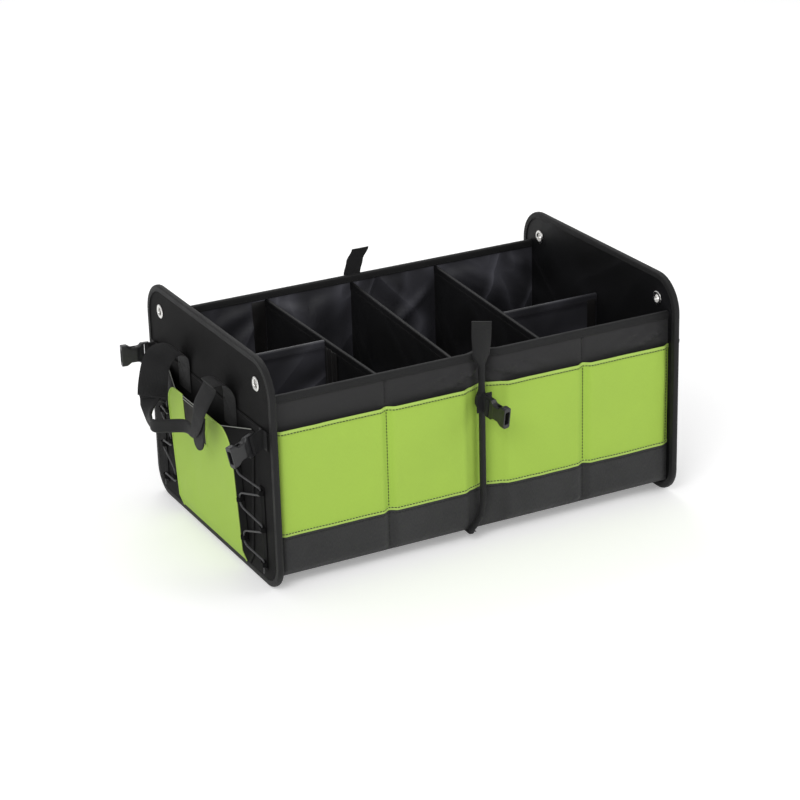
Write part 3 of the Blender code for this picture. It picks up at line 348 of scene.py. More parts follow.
@dataclass(frozen=True)
class MouldedPlastic(Finish):
    """Black moulded plastic with a fine spark-eroded grain and faint rub marks."""

    roughness: float = 0.38

    def material(self) -> bpy.types.Material:
        """Builds the material from a grain and broad rub marks.

        Returns:
            The finished material.
        """
        g = Graph(self.name)
        places = g.places(Lay.SOLID)
        rubbed = g.cloud(places, (120, 90, 160), 4.0)
        grain = g.relief(g.cloud(places, (2600, 2600, 2600), 2.0), 0.00003, g.relief(rubbed, 0.0002))
        return g.dress(g.shades(g.spread(rubbed, 0, 1), self.colour, 0.8, 1.5),
                       g.spread(rubbed, self.roughness - 0.08, self.roughness + 0.10), grain,
                       Specular_IOR_Level=0.5)


@dataclass(frozen=True)
class NickelPlate(Finish):
    """Pressed steel with a thin bright plating and light scratches."""

    roughness: float = 0.22

    def material(self) -> bpy.types.Material:
        """Builds the material from scratches and a few dull spots.

        Returns:
            The finished material.
        """
        g = Graph(self.name)
        places = g.places(Lay.SOLID)
        scratches = g.relief(g.cloud(places, (900, 5200, 300), 3.0), 0.00002)
        dull = g.cloud(places, (260, 260, 260), 3.0)
        return g.dress(g.shades(g.spread(dull, 0, 1), self.colour, 0.85, 1.0),
                       g.spread(dull, self.roughness - 0.05, self.roughness + 0.12), scratches, Metallic=1.0)


@dataclass(frozen=True)
class BraidedCord(Finish):
    """Round elastic cord in a braided cover."""

    pitch: float = 0.0022

    def material(self) -> bpy.types.Material:
        """Builds the material from two sets of strands that wind in opposite ways, darker between the strands as
        painted shade.

        Returns:
            The finished material.
        """
        g, places, (x, y, z) = self.start(Lay.SOLID)
        flat = g.math("ADD", x, y)
        braid = g.math("MAXIMUM", *(g.ribs(g.math(sign, flat, z), self.pitch) for sign in ("ADD", "SUBTRACT")))
        dust = g.cloud(places, (160, 160, 160), 3.0)
        # Darker between the strands as painted shade, and patchy with dust.
        strand_shade_and_dust = g.math("MULTIPLY", braid, g.spread(dust, 0.5, 1.0))
        return g.dress(g.shades(strand_shade_and_dust, self.colour, 0.6, 1.6), g.spread(dust, 0.50, 0.66), g.relief(braid, 0.0003),
                       Sheen_Weight=0.1)


@dataclass(frozen=True)
class Thread(Finish):
    """Twisted sewing thread."""

    def material(self) -> bpy.types.Material:
        """Builds the material from a fine twist, darker between its turns as painted shade.

        Returns:
            The finished material.
        """
        g, places, (x, y, z) = self.start(Lay.SOLID)
        twist = g.ribs(g.math("ADD", g.math("ADD", x, y), z), 0.0006)
        fuzz = g.cloud(places, (800, 800, 800), 2.0)
        return g.dress(g.shades(twist, self.colour, 0.7, 1.3), g.spread(fuzz, 0.5, 0.7), g.relief(twist, 0.0001))


@dataclass(frozen=True)
class KnitMesh(Finish):
    """Open knitted mesh over dark cloth: small holes between lighter strands."""

    cell: float = 0.0032

    def material(self) -> bpy.types.Material:
        """Builds the material from crossing diagonal strands.

        Returns:
            The finished material.
        """
        g, uv, (u, v, _) = self.start(Lay.CLOTH)
        nets = g.math("MAXIMUM", *(g.ribs(g.math(sign, u, v), self.cell) for sign in ("ADD", "SUBTRACT")))
        strands = g.math("POWER", nets, 3.0)
        return g.dress(g.shades(strands, self.colour, 0.35, 1.8), g.spread(g.cloud(uv, (60, 60, 1), 3.0), 0.55, 0.75),
                       g.relief(strands, 0.0004), Specular_IOR_Level=0.2)


BLACK_CLOTH = WovenCloth("black_polyester", "black_cloth", (0.019, 0.0185, 0.0195), sheen=0.08)
# Its strong mottle is random tone and also painted sheen: lighter streaks that stand in for the cloth's sheen.
POCKET_BLACK = WovenCloth("black_pocket_polyester", "black_cloth", (0.029, 0.029, 0.030), sheen=0.08,
                          mottle_and_painted_sheen=0.5, crease=0.0045)
PANEL_CLOTH = WovenCloth("stiff_black_polyester", "black_cloth", (0.0080, 0.0078, 0.0080), sheen=0.0,
                         shine=0.10, crease=0.0010)
GREEN_CLOTH = WovenCloth("green_polyester", "green_cloth", (0.41, 0.617, 0.083), sheen=0.03, mottle_and_painted_sheen=0.05)
# A lighter copy of the green cloth: painted highlight along the folded hems and edges.
LIT_GREEN_EDGE = WovenCloth("green_polyester_hem", "green_cloth", (0.46, 0.66, 0.13), sheen=0.03, mottle_and_painted_sheen=0.05,
                        crease=0.0004)
# The next two finishes are one lining in two tones: the lighter one is painted light where it faces the front lamps,
# the darker one painted shade on faces deeper in the box.
LINING = CoatedLining("coated_lining", "lining", (0.031, 0.031, 0.037), painted_highlight=3.4)
SHADED_LINING = CoatedLining("dark_coated_lining", "lining", (0.0040, 0.0040, 0.0046), crease=0.0006, shine=0.12)
SEAT_TAPE = CoatedLining("seat_tape", "lining", (0.015, 0.014, 0.014), crease=0.0004, shine=0.3, painted_highlight=1.4)
BINDING = RibbedWeb("edge_tape", "binding", (0.0080, 0.0080, 0.0084), rib=0.0011, depth=0.00015)
WEBBING = RibbedWeb("webbing", "webbing", (0.0072, 0.0072, 0.0078), depth=0.0004)
STRAP_WEBBING = RibbedWeb("strap_webbing", "webbing", (0.0135, 0.0135, 0.0142), depth=0.0004)
LOOP_TAPE = RibbedWeb("loop_tape", "webbing", (0.0060, 0.0060, 0.0062), shine=0.05, rib=0.0011, depth=0.00012,
                      lay=Lay.SOLID)
BOARD = WovenCloth("pressed_board", "board", (0.45, 0.40, 0.32), pitch=0.004, crease=0.0002, sheen=0.0)
BUCKLE = MouldedPlastic("black_plastic", "buckle", (0.014, 0.014, 0.015))
STEEL = NickelPlate("nickel_plate", "steel", (0.80, 0.79, 0.77))
CORD = BraidedCord("braided_elastic", "lace", (0.050, 0.050, 0.052))
THREAD = Thread("black_thread", "webbing", (0.009, 0.009, 0.009))
EDGE_THREAD = Thread("grey_thread", "binding", (0.30, 0.31, 0.28))
MESH = KnitMesh("dark_mesh", "lining", (0.013, 0.011, 0.008))


@cache
def material_of(finish: Finish) -> bpy.types.Material:
    """Gives a finish's material, built once."""
    return finish.material()


# ---------------------------------------------------------------- making and placing pieces


def spaced(start: float, end: float, step: float) -> list[float]:
    """Gives even places from start to end, about a step apart."""
    count = max(1, round(abs(end - start) / step))
    return [start + (end - start) * i / count for i in range(count + 1)]


def within(share: float) -> float:
    """Keeps a share from 0 to 1."""
    return min(1.0, max(0.0, share))


def eased(share: float) -> float:
    """Gives a smooth step from 0 to 1."""
    share = within(share)
    return share * share * (3 - 2 * share)


def wavy(*place: float) -> float:
    """Gives Blender's smooth noise at a place, about -1 to 1."""
    return noise.noise(Vector(place))


def ahead_of(points: Sequence[Vector], i: int) -> Vector:
    """Gives the direction of a line of points at one of them."""
    return (points[min(len(points) - 1, i + 1)] - points[max(0, i - 1)]).normalized()


def linked(name: str, data: bpy.types.ID) -> Obj:
    """Puts a mesh, lamp or camera into the scene.

    Args:
        name: Name of the object.
        data: Its mesh, lamp or camera.

    Returns:
        The new object.
    """
    obj = bpy.data.objects.new(name, data)
    bpy.context.scene.collection.objects.link(obj)
    return obj


def grid_object(name: str, rows: Rows, ring: bool = False, caps: bool = False, loop: bool = False) -> Obj:
    """Makes a mesh of quads between rows of points, with a UV map in metres.

    Args:
        name: Name of the object.
        rows: Rows with the same number of points each.
        ring: Whether each row closes on itself.
        caps: Whether the first and the last row are closed with a face.
        loop: Whether the last row joins the first.

    Returns:
        The new object, in the scene.
    """
    count, middle = len(rows[0]), rows[len(rows) // 2]
    wide, tall = count if ring else count - 1, len(rows) if loop else len(rows) - 1
    us = list(accumulate(((middle[(j + 1) % count] - middle[j]).length for j in range(wide)), initial=0.0))
    column = [row[count // 2] for row in rows] + ([rows[0][count // 2]] if loop else [])
    vs = list(accumulate(((b - a).length for a, b in zip(column, column[1:])), initial=0.0))
    faces, places = [], []
    for i in range(tall):
        k = (i + 1) % len(rows)
        for j in range(wide):
            m = (j + 1) % count
            faces.append((i * count + j, i * count + m, k * count + m, k * count + j))
            places += [(us[j], vs[i]), (us[j + 1], vs[i]), (us[j + 1], vs[i + 1]), (us[j], vs[i + 1])]
    if caps:
        for first in (0, (len(rows) - 1) * count):
            faces.append(tuple(range(first, first + count)))
            places += [(us[j], vs[0]) for j in range(count)]
    mesh = bpy.data.meshes.new(name)
    mesh.from_pydata([tuple(p) for row in rows for p in row], [], faces)
    layer = mesh.uv_layers.new(name="UVMap")
    for spot, uv in zip(layer.data, places):
        spot.uv = uv
    bm = bmesh.new()
    bm.from_mesh(mesh)
    bmesh.ops.recalc_face_normals(bm, faces=bm.faces)
    bm.to_mesh(mesh)
    bm.free()
    return linked(name, mesh)


def settle(obj: Obj, sharp: float = FOLD_ANGLE) -> Obj:
    """Applies an object's modifiers and shades it smooth.

    Args:
        obj: The object.
        sharp: Angle in degrees from which an edge stays sharp.

    Returns:
        The same object.
    """
    bpy.context.view_layer.update()
    graph = bpy.context.evaluated_depsgraph_get()
    made = bpy.data.meshes.new_from_object(obj.evaluated_get(graph))
    obj.modifiers.clear()
    old, obj.data = obj.data, made
    bpy.data.meshes.remove(old)
    made.shade_smooth()
    made.set_sharp_from_angle(angle=math.radians(sharp))
    return obj


def cloth_sheet(name: str, rows: Rows, thickness: float, edge: float = 0.0) -> Obj:
    """Makes a sheet through rows of points, thickened evenly to both sides.

    Args:
        name: Name of the object.
        rows: Rows of points on the sheet's middle layer.
        thickness: Its thickness.
        edge: Radius of its rounded edges, or 0.

    Returns:
        The new object.
    """
    obj = grid_object(name, rows)
    solid = obj.modifiers.new("cloth", "SOLIDIFY")
    solid.thickness, solid.offset, solid.use_even_offset = thickness, 0.0, True
    if edge:
        rounding = obj.modifiers.new("edge", "BEVEL")
        rounding.width, rounding.segments, rounding.limit_method = edge, 2, "ANGLE"
        rounding.angle_limit = math.radians(ROUND_ANGLE)
    return settle(obj)


def tube(name: str, points: Sequence[Vector], radius: float, sides: int = 8) -> Obj:
    """Makes a round tube along points, closed at both ends.

    Args:
        name: Name of the object.
        points: Its centre line.
        radius: Its radius.
        sides: Number of points round it.

    Returns:
        The new object.
    """
    points = [p for i, p in enumerate(points) if i == 0 or (p - points[i - 1]).length > 1e-7]
    aside, rows = Vector((0.31, 0.57, 0.76)), []
    for i, point in enumerate(points):
        ahead = ahead_of(points, i)
        aside = (aside - ahead * aside.dot(ahead)).normalized()
        upward = ahead.cross(aside)
        turns = [2 * math.pi * k / sides for k in range(sides)]
        rows.append([point + (aside * math.cos(a) + upward * math.sin(a)) * radius for a in turns])
    return settle(grid_object(name, rows, ring=True, caps=True), ROUND_ANGLE)


def softened(name: str, node: str, voxel: float, rounds: int) -> Obj:
    """Copies a CAD node's shape with its edges rounded, as moulding or sewing leaves them.

    Args:
        name: Name of the new object.
        node: The CAD node.
        voxel: Size of the even cells in metres.
        rounds: How often its surface is relaxed.

    Returns:
        The new object.
    """
    obj = linked(name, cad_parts[node].data.copy())
    obj.data.materials.clear()
    even = obj.modifiers.new("even", "REMESH")
    even.mode, even.voxel_size = "VOXEL", voxel
    relax = obj.modifiers.new("relax", "SMOOTH")
    relax.factor, relax.iterations = 0.5, rounds
    return settle(obj, ROUND_ANGLE)


def place(obj: Obj, finish: Finish, *nodes: str, body: str = "organizer") -> Obj:
    """Gives a piece its finish and its body, hides the CAD nodes that it stands for, and reports it.

    Args:
        obj: The piece, in place.
        finish: Its finish.
        nodes: CAD nodes that it replaces.
        body: CAD body that it moves with.

    Returns:
        The same object.
    """
    obj.data.materials.clear()
    obj.data.materials.append(material_of(finish))
    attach(obj, body)
    if nodes:
        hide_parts(*nodes)
    LOG.info("%s: %s on %s", obj.name, finish.name, body)
    return obj


def place_sheet(obj: Obj, finish: Finish, node: str, flat: tuple[float, float], *under: str,
                held: str = "stretched") -> Obj:
    """Places a soft sheet.

    Args:
        obj: The sheet.
        finish: Its finish.
        node: CAD node that it replaces.
        flat: Its flat size; not used.
        under: What it rests on; not used.
        held: How it is held; not used.

    Returns:
        The same object.
    """
    place(obj, finish, node)
    return obj


@dataclass(frozen=True)
class Stitching:
    """Rows of raised stitches, each a short capsule that dips into the cloth at its ends."""

    pitch: float = 0.0038
    length: float = 0.0029
    radius: float = 0.00032
    sides: int = 5
    shape: tuple[tuple[float, float], ...] = ((-0.5, 0.25), (-0.3, 1.0), (0.3, 1.0), (0.5, 0.25))
    dip: float = 0.8

    def spots(self, line: Sequence[Vector]) -> list[tuple[Vector, Vector]]:
        """Finds where the stitches lie along a line.

        Args:
            line: Points of the line.

        Returns:
            The middle and the direction of each stitch.
        """
        steps = [(b - a).length for a, b in zip(line, line[1:])]
        total, found = sum(steps), []
        count = max(1, int(total / self.pitch))
        at, i = 0.0, 0
        for n in range(count):
            goal = (n + 0.5) * total / count
            while i < len(steps) - 1 and at + steps[i] < goal:
                at += steps[i]
                i += 1
            share = min(1.0, (goal - at) / max(steps[i], 1e-9))
            found.append((line[i].lerp(line[i + 1], share), (line[i + 1] - line[i]).normalized()))
        return found

    def sew(self, name: str, seams: Sequence[Seam]) -> None:
        """Makes all the stitches of some seams as one piece.

        Args:
            name: Name of the piece.
            seams: For each seam its points and the direction that its cloth faces.
        """
        points: list[Vector] = []
        faces: list[tuple[int, ...]] = []
        for line, facing in seams:
            for middle, ahead in self.spots(line):
                self.stitch(points, faces, middle, ahead, facing.normalized())
        mesh = bpy.data.meshes.new(name)
        mesh.from_pydata([tuple(p) for p in points], [], faces)
        mesh.shade_smooth()
        place(linked(name, mesh), THREAD)

    def stitch(self, points: list[Vector], faces: list[tuple[int, ...]], middle: Vector, ahead: Vector,
               facing: Vector) -> None:
        """Adds one stitch to a list of points and faces.

        Args:
            points: The points so far.
            faces: The faces so far.
            middle: Its middle.
            ahead: Its direction.
            facing: Direction that its cloth faces.
        """
        aside = ahead.cross(facing).normalized()
        first, n = len(points), self.sides
        for share, size in self.shape:
            dip = facing * self.radius * (size - self.dip)
            for k in range(n):
                angle = 2 * math.pi * k / n
                round_it = aside * math.cos(angle) + facing * math.sin(angle)
                points.append(middle + ahead * self.length * share + dip + round_it * self.radius * size)
        last = len(self.shape) - 1
        for ring in range(last):
            for k in range(n):
                a, b = first + ring * n + k, first + ring * n + (k + 1) % n
                faces.append((a, b, b + n, a + n))
        faces.append(tuple(range(first + n - 1, first - 1, -1)))
        faces.append(tuple(range(first + last * n, first + (last + 1) * n)))


PLAIN, PLEATED, POCKETED, SHORT = (Stitching(), Stitching(0.0042, 0.0038, 0.0007), Stitching(0.0042, 0.0034, 0.0006),
                                   Stitching(0.0026, 0.0022))


# ---------------------------------------------------------------- sub-assemblies


@dataclass(frozen=True)
class Carcass:
    """Sizes in metres that the sub-assemblies share."""

    gap: float = 0.0003
    spacing: float = 0.580
    panel_width: float = 0.389
    panel_height: float = 0.304
    top_radius: float = 0.048
    bottom_radius: float = 0.036
    end_board: float = 0.0030
    skin: float = 0.0010
    lining: float = 0.0008
    wall_board: float = 0.0025
    half_depth: float = 0.1765
    bottom: float = 0.018
    top: float = 0.258
    pocket_top: float = 0.213
    rim_leg: float = 0.010
    tape: float = 0.0010
    tape_leg: float = 0.0085
    backing: float = 0.0010
    strap_x: float = 0.009
    crease_depth: float = 0.009
    crease_half: float = 0.022
    crease_foot: float = 0.031
    crease_full: float = 0.086
    floor: float = 0.0235

    @property
    def end_layers(self) -> float:
        """Thickness of an end panel without its tape."""
        return self.skin + self.end_board + self.lining + 2 * self.gap

    @property
    def outer_x(self) -> float:
        """Where the end panels' outer faces are."""
        return (self.spacing + self.end_layers) / 2

    @property
    def inner_x(self) -> float:
        """Where the end panels' inner faces are."""
        return (self.spacing - self.end_layers) / 2

    @property
    def wall_end(self) -> float:
        """How far the long walls reach along X."""
        return self.inner_x - self.gap

    @property
    def wall_layers(self) -> float:
        """Thickness of a long wall without its tape."""
        return self.skin + self.wall_board + self.lining + 2 * self.gap

    @property
    def inner_y(self) -> float:
        """Where the long walls' inner faces are."""
        return self.half_depth - self.wall_layers

    def crease(self, x: float, z: float) -> float:
        """Gives how far the front wall is folded inwards at a place.

        Args:
            x: Place along the wall.
            z: Height.

        Returns:
            The fold's depth.
        """
        across = max(0.0, 1 - abs(x - self.strap_x) / self.crease_half)
        rounded = 0.75 * across + 0.25 * eased(across)
        return self.crease_depth * rounded * within((z - self.crease_foot) / (self.crease_full - self.crease_foot))


def arched(x: float, half: float, ends: tuple[float, float], radii: tuple[float, float], turns: int, step: float,
           share_step: float) -> Rows:
    """Gives upright columns of points over a flat shape with rounded corners.

    Args:
        x: Where the shape is.
        half: Half its width.
        ends: Heights of its foot and its head.
        radii: Radius of its lower and its upper corners.
        turns: Number of columns in a corner.
        step: Distance between the other columns.
        share_step: Distance between the points of a column, as a share of its length.

    Returns:
        One list of points for each column, from its foot to its head.
    """
    low, high = radii
    corner = [half - (high or low) * (1 - math.cos(math.pi / 2 * i / turns)) for i in range(turns + 1)]
    rows = []
    for y in [-y for y in corner] + spaced(-corner[-1], corner[-1], step)[1:-1] + corner[::-1]:
        drops = [math.sqrt(max(0.0, r**2 - max(0.0, abs(y) - half + r) ** 2)) for r in radii]
        foot, head = ends[0] + low - drops[0], ends[1] - high + drops[1]
        rows.append([Vector((x, y, foot + (head - foot) * share)) for share in spaced(0, 1, share_step)])
    return rows


def folded_tape(half: float, tape: float, leg: float, bends: tuple[float, float], turn: int) -> Profile:
    """Gives the section of a tape folded over an edge, as its inset from the edge and its place across.

    Args:
        half: Half its outer width.
        tape: Its thickness.
        leg: How far it reaches over each face.
        bends: How high its fold is outside and inside.
        turn: Degrees between the points of the fold.

    Returns:
        The points of its closed section.
    """
    lip, turns = 0.3 * tape, [math.radians(angle) for angle in range(90, -91, -turn)]
    outside, inside = ([(start + bend * (1 - math.cos(a)), (half - start) * math.sin(a)) for a in turns]
                       for start, bend in zip((0.0, tape), bends))
    return [(leg - lip, half), *outside, (leg - lip, -half), (leg, lip - half), (leg, tape - half),
            *reversed(inside), (leg, half - tape), (leg, half - lip)]


def swept(stations: Sequence[tuple[Vector, Vector]], profile: Profile, middle: Vector) -> Rows:
    """Carries a section of insets and places along X round stations of a point and its inward direction."""
    return [[middle + point + inward * inset + Vector((x, 0, 0)) for inset, x in profile] for point, inward in stations]


@dataclass(frozen=True)
class EndPanel:
    """One stiff end: outer cloth, lining and the tape folded over its edge."""

    carcass: Carcass
    side: Side
    step: float = 0.008
    share_step: float = 0.03
    corner_steps: int = 12
    fold: float = 0.0022
    sewn: float = 0.0018

    def stations(self) -> list[tuple[Vector, Vector]]:
        """Gives points round the panel's edge, each with its inward direction.

        Returns:
            A point and a direction for each place.
        """
        c = self.carcass
        half, tall, low, high = c.panel_width / 2, c.panel_height, c.bottom_radius, c.top_radius
        corners = [(half - low, low, low, -90), (half - high, tall - high, high, 0),
                   (high - half, tall - high, high, 90), (low - half, low, low, 180)]
        found = []
        for (y, z, r, start), (ny, nz, nr, begin) in zip(corners, corners[1:] + corners[:1]):
            for i in range(self.corner_steps + 1):
                angle = math.radians(start + 90 * i / self.corner_steps)
                out = Vector((0, math.cos(angle), math.sin(angle)))
                found.append((Vector((0, y, z)) + out * r, -out))
            angle = math.radians(begin)
            goal = Vector((0, ny + nr * math.cos(angle), nz + nr * math.sin(angle)))
            last, inward = found[-1]
            shares = spaced(0, 1, self.step / (goal - last).length)[1:-1]
            found += [(last.lerp(goal, share), inward) for share in shares]
        return found

    def dress(self, holes: Obj) -> None:
        """Builds the panel's three cloth pieces and its seams.

        Args:
            holes: Helper that opens the eyelets' holes.
        """
        c, sign, name = self.carcass, self.side.value, self.side.name.lower()
        inset = c.tape + c.gap
        radii = (c.bottom_radius - inset, c.top_radius - inset)
        for layer, x, thick, finish in (("outer_cloth", c.outer_x - c.skin / 2, c.skin, PANEL_CLOTH),
                                        ("lining", c.inner_x + c.lining / 2, c.lining, SHADED_LINING)):
            rows = arched(sign * x, c.panel_width / 2 - inset, (inset, c.panel_height - inset), radii,
                          self.corner_steps, self.step, self.share_step)
            cloth = cloth_sheet(f"{name}_panel_{layer}", rows, thick)
            cut = cloth.modifiers.new("holes", "BOOLEAN")
            cut.operation, cut.object = "DIFFERENCE", holes
            place_sheet(settle(cloth), finish, f"{name}_end_{layer}", (c.panel_width, c.panel_height),
                        f"{name}_end_board")
        face, stations, seams = c.end_layers / 2 + c.gap + c.tape, self.stations(), []
        profile = folded_tape(face, c.tape, c.tape_leg, (self.fold, self.fold - 0.4 * c.tape), 15)
        rows = swept(stations, profile, Vector((sign * c.spacing / 2, 0, 0)))
        place(settle(grid_object(f"{name}_panel_edge_tape", rows, ring=True, loop=True)), BINDING,
              f"{name}_end_binding")
        for out in (-1, 1):
            line = [point + inward * (c.tape_leg - self.sewn) + Vector((sign * c.spacing / 2 + out * face, 0, 0))
                    for point, inward in stations]
            seams.append((line + line[:1], Vector((out, 0, 0))))
        PLAIN.sew(f"{name}_panel_stitches", seams)


@dataclass(frozen=True)
class Eyelet:
    """A pressed eyelet: a rolled flange on each face and a barrel between them."""

    carcass: Carcass
    y: float = 0.150
    z: float = 0.268
    flange: float = 0.0095
    barrel: float = 0.0056
    hole: float = 0.0048
    metal: float = 0.0008
    steps: int = 40

    def profile(self) -> Profile:
        """Gives the ring's section as its radius and its place across the panel.

        Returns:
            The points of the closed section.
        """
        face, metal = self.carcass.end_layers / 2 + self.carcass.gap, self.metal
        rolled = ((self.flange, -0.2, 0), (self.flange, 0, 0.35), (self.flange, -0.3, 0.8), (self.flange, -1.6, 1.25),
                  (self.barrel, 1.2, 1.25), (self.hole, 0.9, 0.9), (self.hole, 0.25, 0.3), (self.hole, 0, -0.6))
        half = [(self.barrel, face)] + [(r + out * metal, face + up * metal) for r, out, up in rolled]
        return [(self.barrel, 0.0)] + half + [(r, -x) for r, x in reversed(half)]

    def ring(self, side: Side, wall: Wall) -> None:
        """Builds one eyelet in its corner of an end panel.

        Args:
            side: The end that it is on.
            wall: The long wall that it is next to.
        """
        middle = Vector((side.value * self.carcass.spacing / 2, wall.value * self.y, self.z))
        turns = [2 * math.pi * i / self.steps for i in range(self.steps)]
        rows = swept([(Vector(), Vector((0, math.cos(a), math.sin(a)))) for a in turns], self.profile(), middle)
        name = f"{side.name.lower()}_eyelet_{wall.name.lower()}"
        place(settle(grid_object(f"{name}_ring", rows, ring=True, loop=True), ROUND_ANGLE), STEEL, name)

    def cutter(self) -> Obj:
        """Makes the helper rods that open the holes in the cloth.

        Returns:
            The helper object.
        """
        bm = bmesh.new()
        size = self.barrel + self.carcass.gap
        for wall in Wall:
            turn = Matrix.Translation((0, wall.value * self.y, self.z)) @ Matrix.Rotation(math.pi / 2, 4, "Y")
            bmesh.ops.create_cone(bm, cap_ends=True, segments=self.steps, radius1=size, radius2=size,
                                  depth=self.carcass.spacing + self.carcass.panel_width, matrix=turn)
        mesh = bpy.data.meshes.new("hole_rods")
        bm.to_mesh(mesh)
        bm.free()
        return linked("hole_rods", mesh)


def upright_tape(name: str, seat: Callable[[float, float], Vector], wide: float, low: float, high: float) -> None:
    """Makes an upright tape; its seat gives its middle layer at a distance from its first edge and a height."""
    rows = [[seat(w, z) for w in spaced(0, wide, UPRIGHT_STEP)] for z in spaced(high, low, 0.008)]
    place(cloth_sheet(name, rows, UPRIGHT_THICK, UPRIGHT_EDGE), SEAT_TAPE)


@dataclass(frozen=True)
class LongWall:
    """One long wall: outer cloth, creased lining and the tape over its rim."""

    carcass: Carcass
    wall: Wall
    free_of: tuple[float, ...]
    seams: tuple[float, ...] = ()
    step: float = 0.005
    wrinkle: float = 0.0070
    pleat: float = 0.0013
    gather: float = 0.0062
    pleat_half: float = 0.005
    pleat_columns: tuple[float, ...] = (-0.004, -0.002, 0.0, 0.002, 0.004)
    calm: float = 0.020
    slope: float = 26.0
    rise: float = 0.0020
    sewn: float = 0.0018
    tape_offset: float = 0.0225
    tape_width: float = 0.020

    def fold(self, x: float, z: float) -> float:
        """Gives how far this wall is folded inwards."""
        return self.carcass.crease(x, z) if self.wall is Wall.FRONT else 0.0

    def rows(self, depth: float, relief: Relief) -> Rows:
        """Gives rows of points over the wall.

        Args:
            depth: How far behind the outer face they lie.
            relief: How far each place stands inwards.

        Returns:
            The rows, from the rim down.
        """
        c, sign = self.carcass, self.wall.value
        across = sorted(spaced(-c.wall_end, c.wall_end, self.step)
                        + [edge + shift for edge in self.seams for shift in self.pleat_columns])
        return [[Vector((x, sign * (c.half_depth - depth - relief(x, z)) + self.fold(x, z), z)) for x in across]
                for z in spaced(c.top - c.tape - c.gap, c.bottom, self.step)]

    def wrinkles(self, x: float, z: float) -> float:
        """Gives the lining's folds, which die out at its seams and beside the dividers.

        Args:
            x: Place along the wall.
            z: Height.

        Returns:
            How far the lining stands inwards.
        """
        c = self.carcass
        near = min([abs(x) - c.wall_end] + [abs(x - other) - 0.004 for other in self.free_of], key=abs)
        upward = eased((c.top - c.rim_leg - 0.002 - z) / 0.022) * eased((z - c.floor - 0.004) / 0.03)
        lean = math.copysign(self.slope, min((x - other for other in self.free_of), key=abs))
        ridge = 1 - 2.4 * abs(wavy(x * 19 + z * lean, z * 7, 9.7))
        relief = 0.35 * wavy(x * 24 + z * 9, z * 17, 4.2 + self.wall.value) + 0.75 * ridge
        return self.wrinkle * eased(abs(near) / self.calm) * upward * max(0.0, relief)

    def gathers(self, x: float, z: float) -> float:
        """Gives the outer cloth's pleats over the pocket seams and its folds beside the strap.

        Args:
            x: Place along the wall.
            z: Height.

        Returns:
            How far the cloth stands inwards.
        """
        c = self.carcass
        if self.wall is Wall.REAR:
            return 0.0
        dents = [self.pleat * (1 - eased(abs(x - edge) / self.pleat_half)) for edge in self.seams]
        apart = min(abs(x - c.strap_x), 1.25 * (c.wall_end - 0.004 - x))
        near = eased((0.14 - apart) / 0.11) * eased(apart / 0.014)
        near *= eased((c.top - c.rim_leg - 0.001 - z) / 0.012) * eased((z - c.pocket_top - 0.001) / 0.010)
        ridge = 1 - 2.6 * abs(wavy(apart * 26 + z * 60, z * 16, 3.1))
        return sum(dents) - self.gather * near * max(0.0, ridge)

    def dress(self) -> None:
        """Builds the wall's cloth, its rim tape and their seams."""
        c, name = self.carcass, self.wall.name.lower()
        for piece, node, finish, depth, thick, relief in (
                ("cloth", "outer_cloth", BLACK_CLOTH, c.skin / 2, c.skin, self.gathers),
                ("inner_lining", "lining", LINING, c.wall_layers - c.lining / 2, c.lining, self.wrinkles)):
            place_sheet(cloth_sheet(f"{name}_wall_{piece}", self.rows(depth, relief), thick), finish,
                        f"{name}_wall_{node}", (2 * c.wall_end, c.top - c.bottom),
                        f"{name}_wall_board_left", f"{name}_wall_board_right")
        if self.seams:
            heights = spaced(c.pocket_top + 0.004, c.top - c.rim_leg - 0.001, 0.004)
            pleats = [([Vector((edge, self.pleat - c.half_depth - LIFT, z)) for z in heights], FRONTWARD)
                      for edge in self.seams]
            PLEATED.sew(f"{name}_wall_pleat_stitches", pleats)
        if self.wall is Wall.REAR:
            start, level = min(self.free_of) - self.tape_offset, c.inner_y - 0.0008
            upright_tape("rear_wall_tape", lambda w, z: Vector((start + w, level - self.wrinkles(start + w, z), z)),
                         self.tape_width, c.floor + 0.004, c.top - c.rim_leg - 0.002)
        self.rim()

    def rim(self) -> None:
        """Folds the tape over the rim and sews it down."""
        c, sign, name = self.carcass, self.wall.value, self.wall.name.lower()
        outer, inner = c.half_depth + c.gap + c.tape, c.inner_y - c.gap - c.tape
        middle, bends = (outer + inner) / 2, (self.rise, self.rise - 0.6 * c.tape)
        profile = folded_tape((outer - inner) / 2, c.tape, c.rim_leg, bends, 20)
        rows = [[Vector((x, sign * (middle + y) + self.fold(x, c.top), c.top - inset)) for inset, y in profile]
                for x in spaced(-c.wall_end, c.wall_end, self.step)]
        place(settle(grid_object(f"{name}_rim_tape", rows, ring=True, caps=True)), BINDING, f"{name}_rim_binding")
        run, level = spaced(0.003 - c.wall_end, c.wall_end - 0.003, self.step), c.top - c.rim_leg + self.sewn
        PLAIN.sew(f"{name}_rim_stitches", [
            ([Vector((x, sign * y + self.fold(x, c.top), level)) for x in run], Vector((0, facing, 0)))
            for y, facing in ((outer, sign), (inner, -sign))])


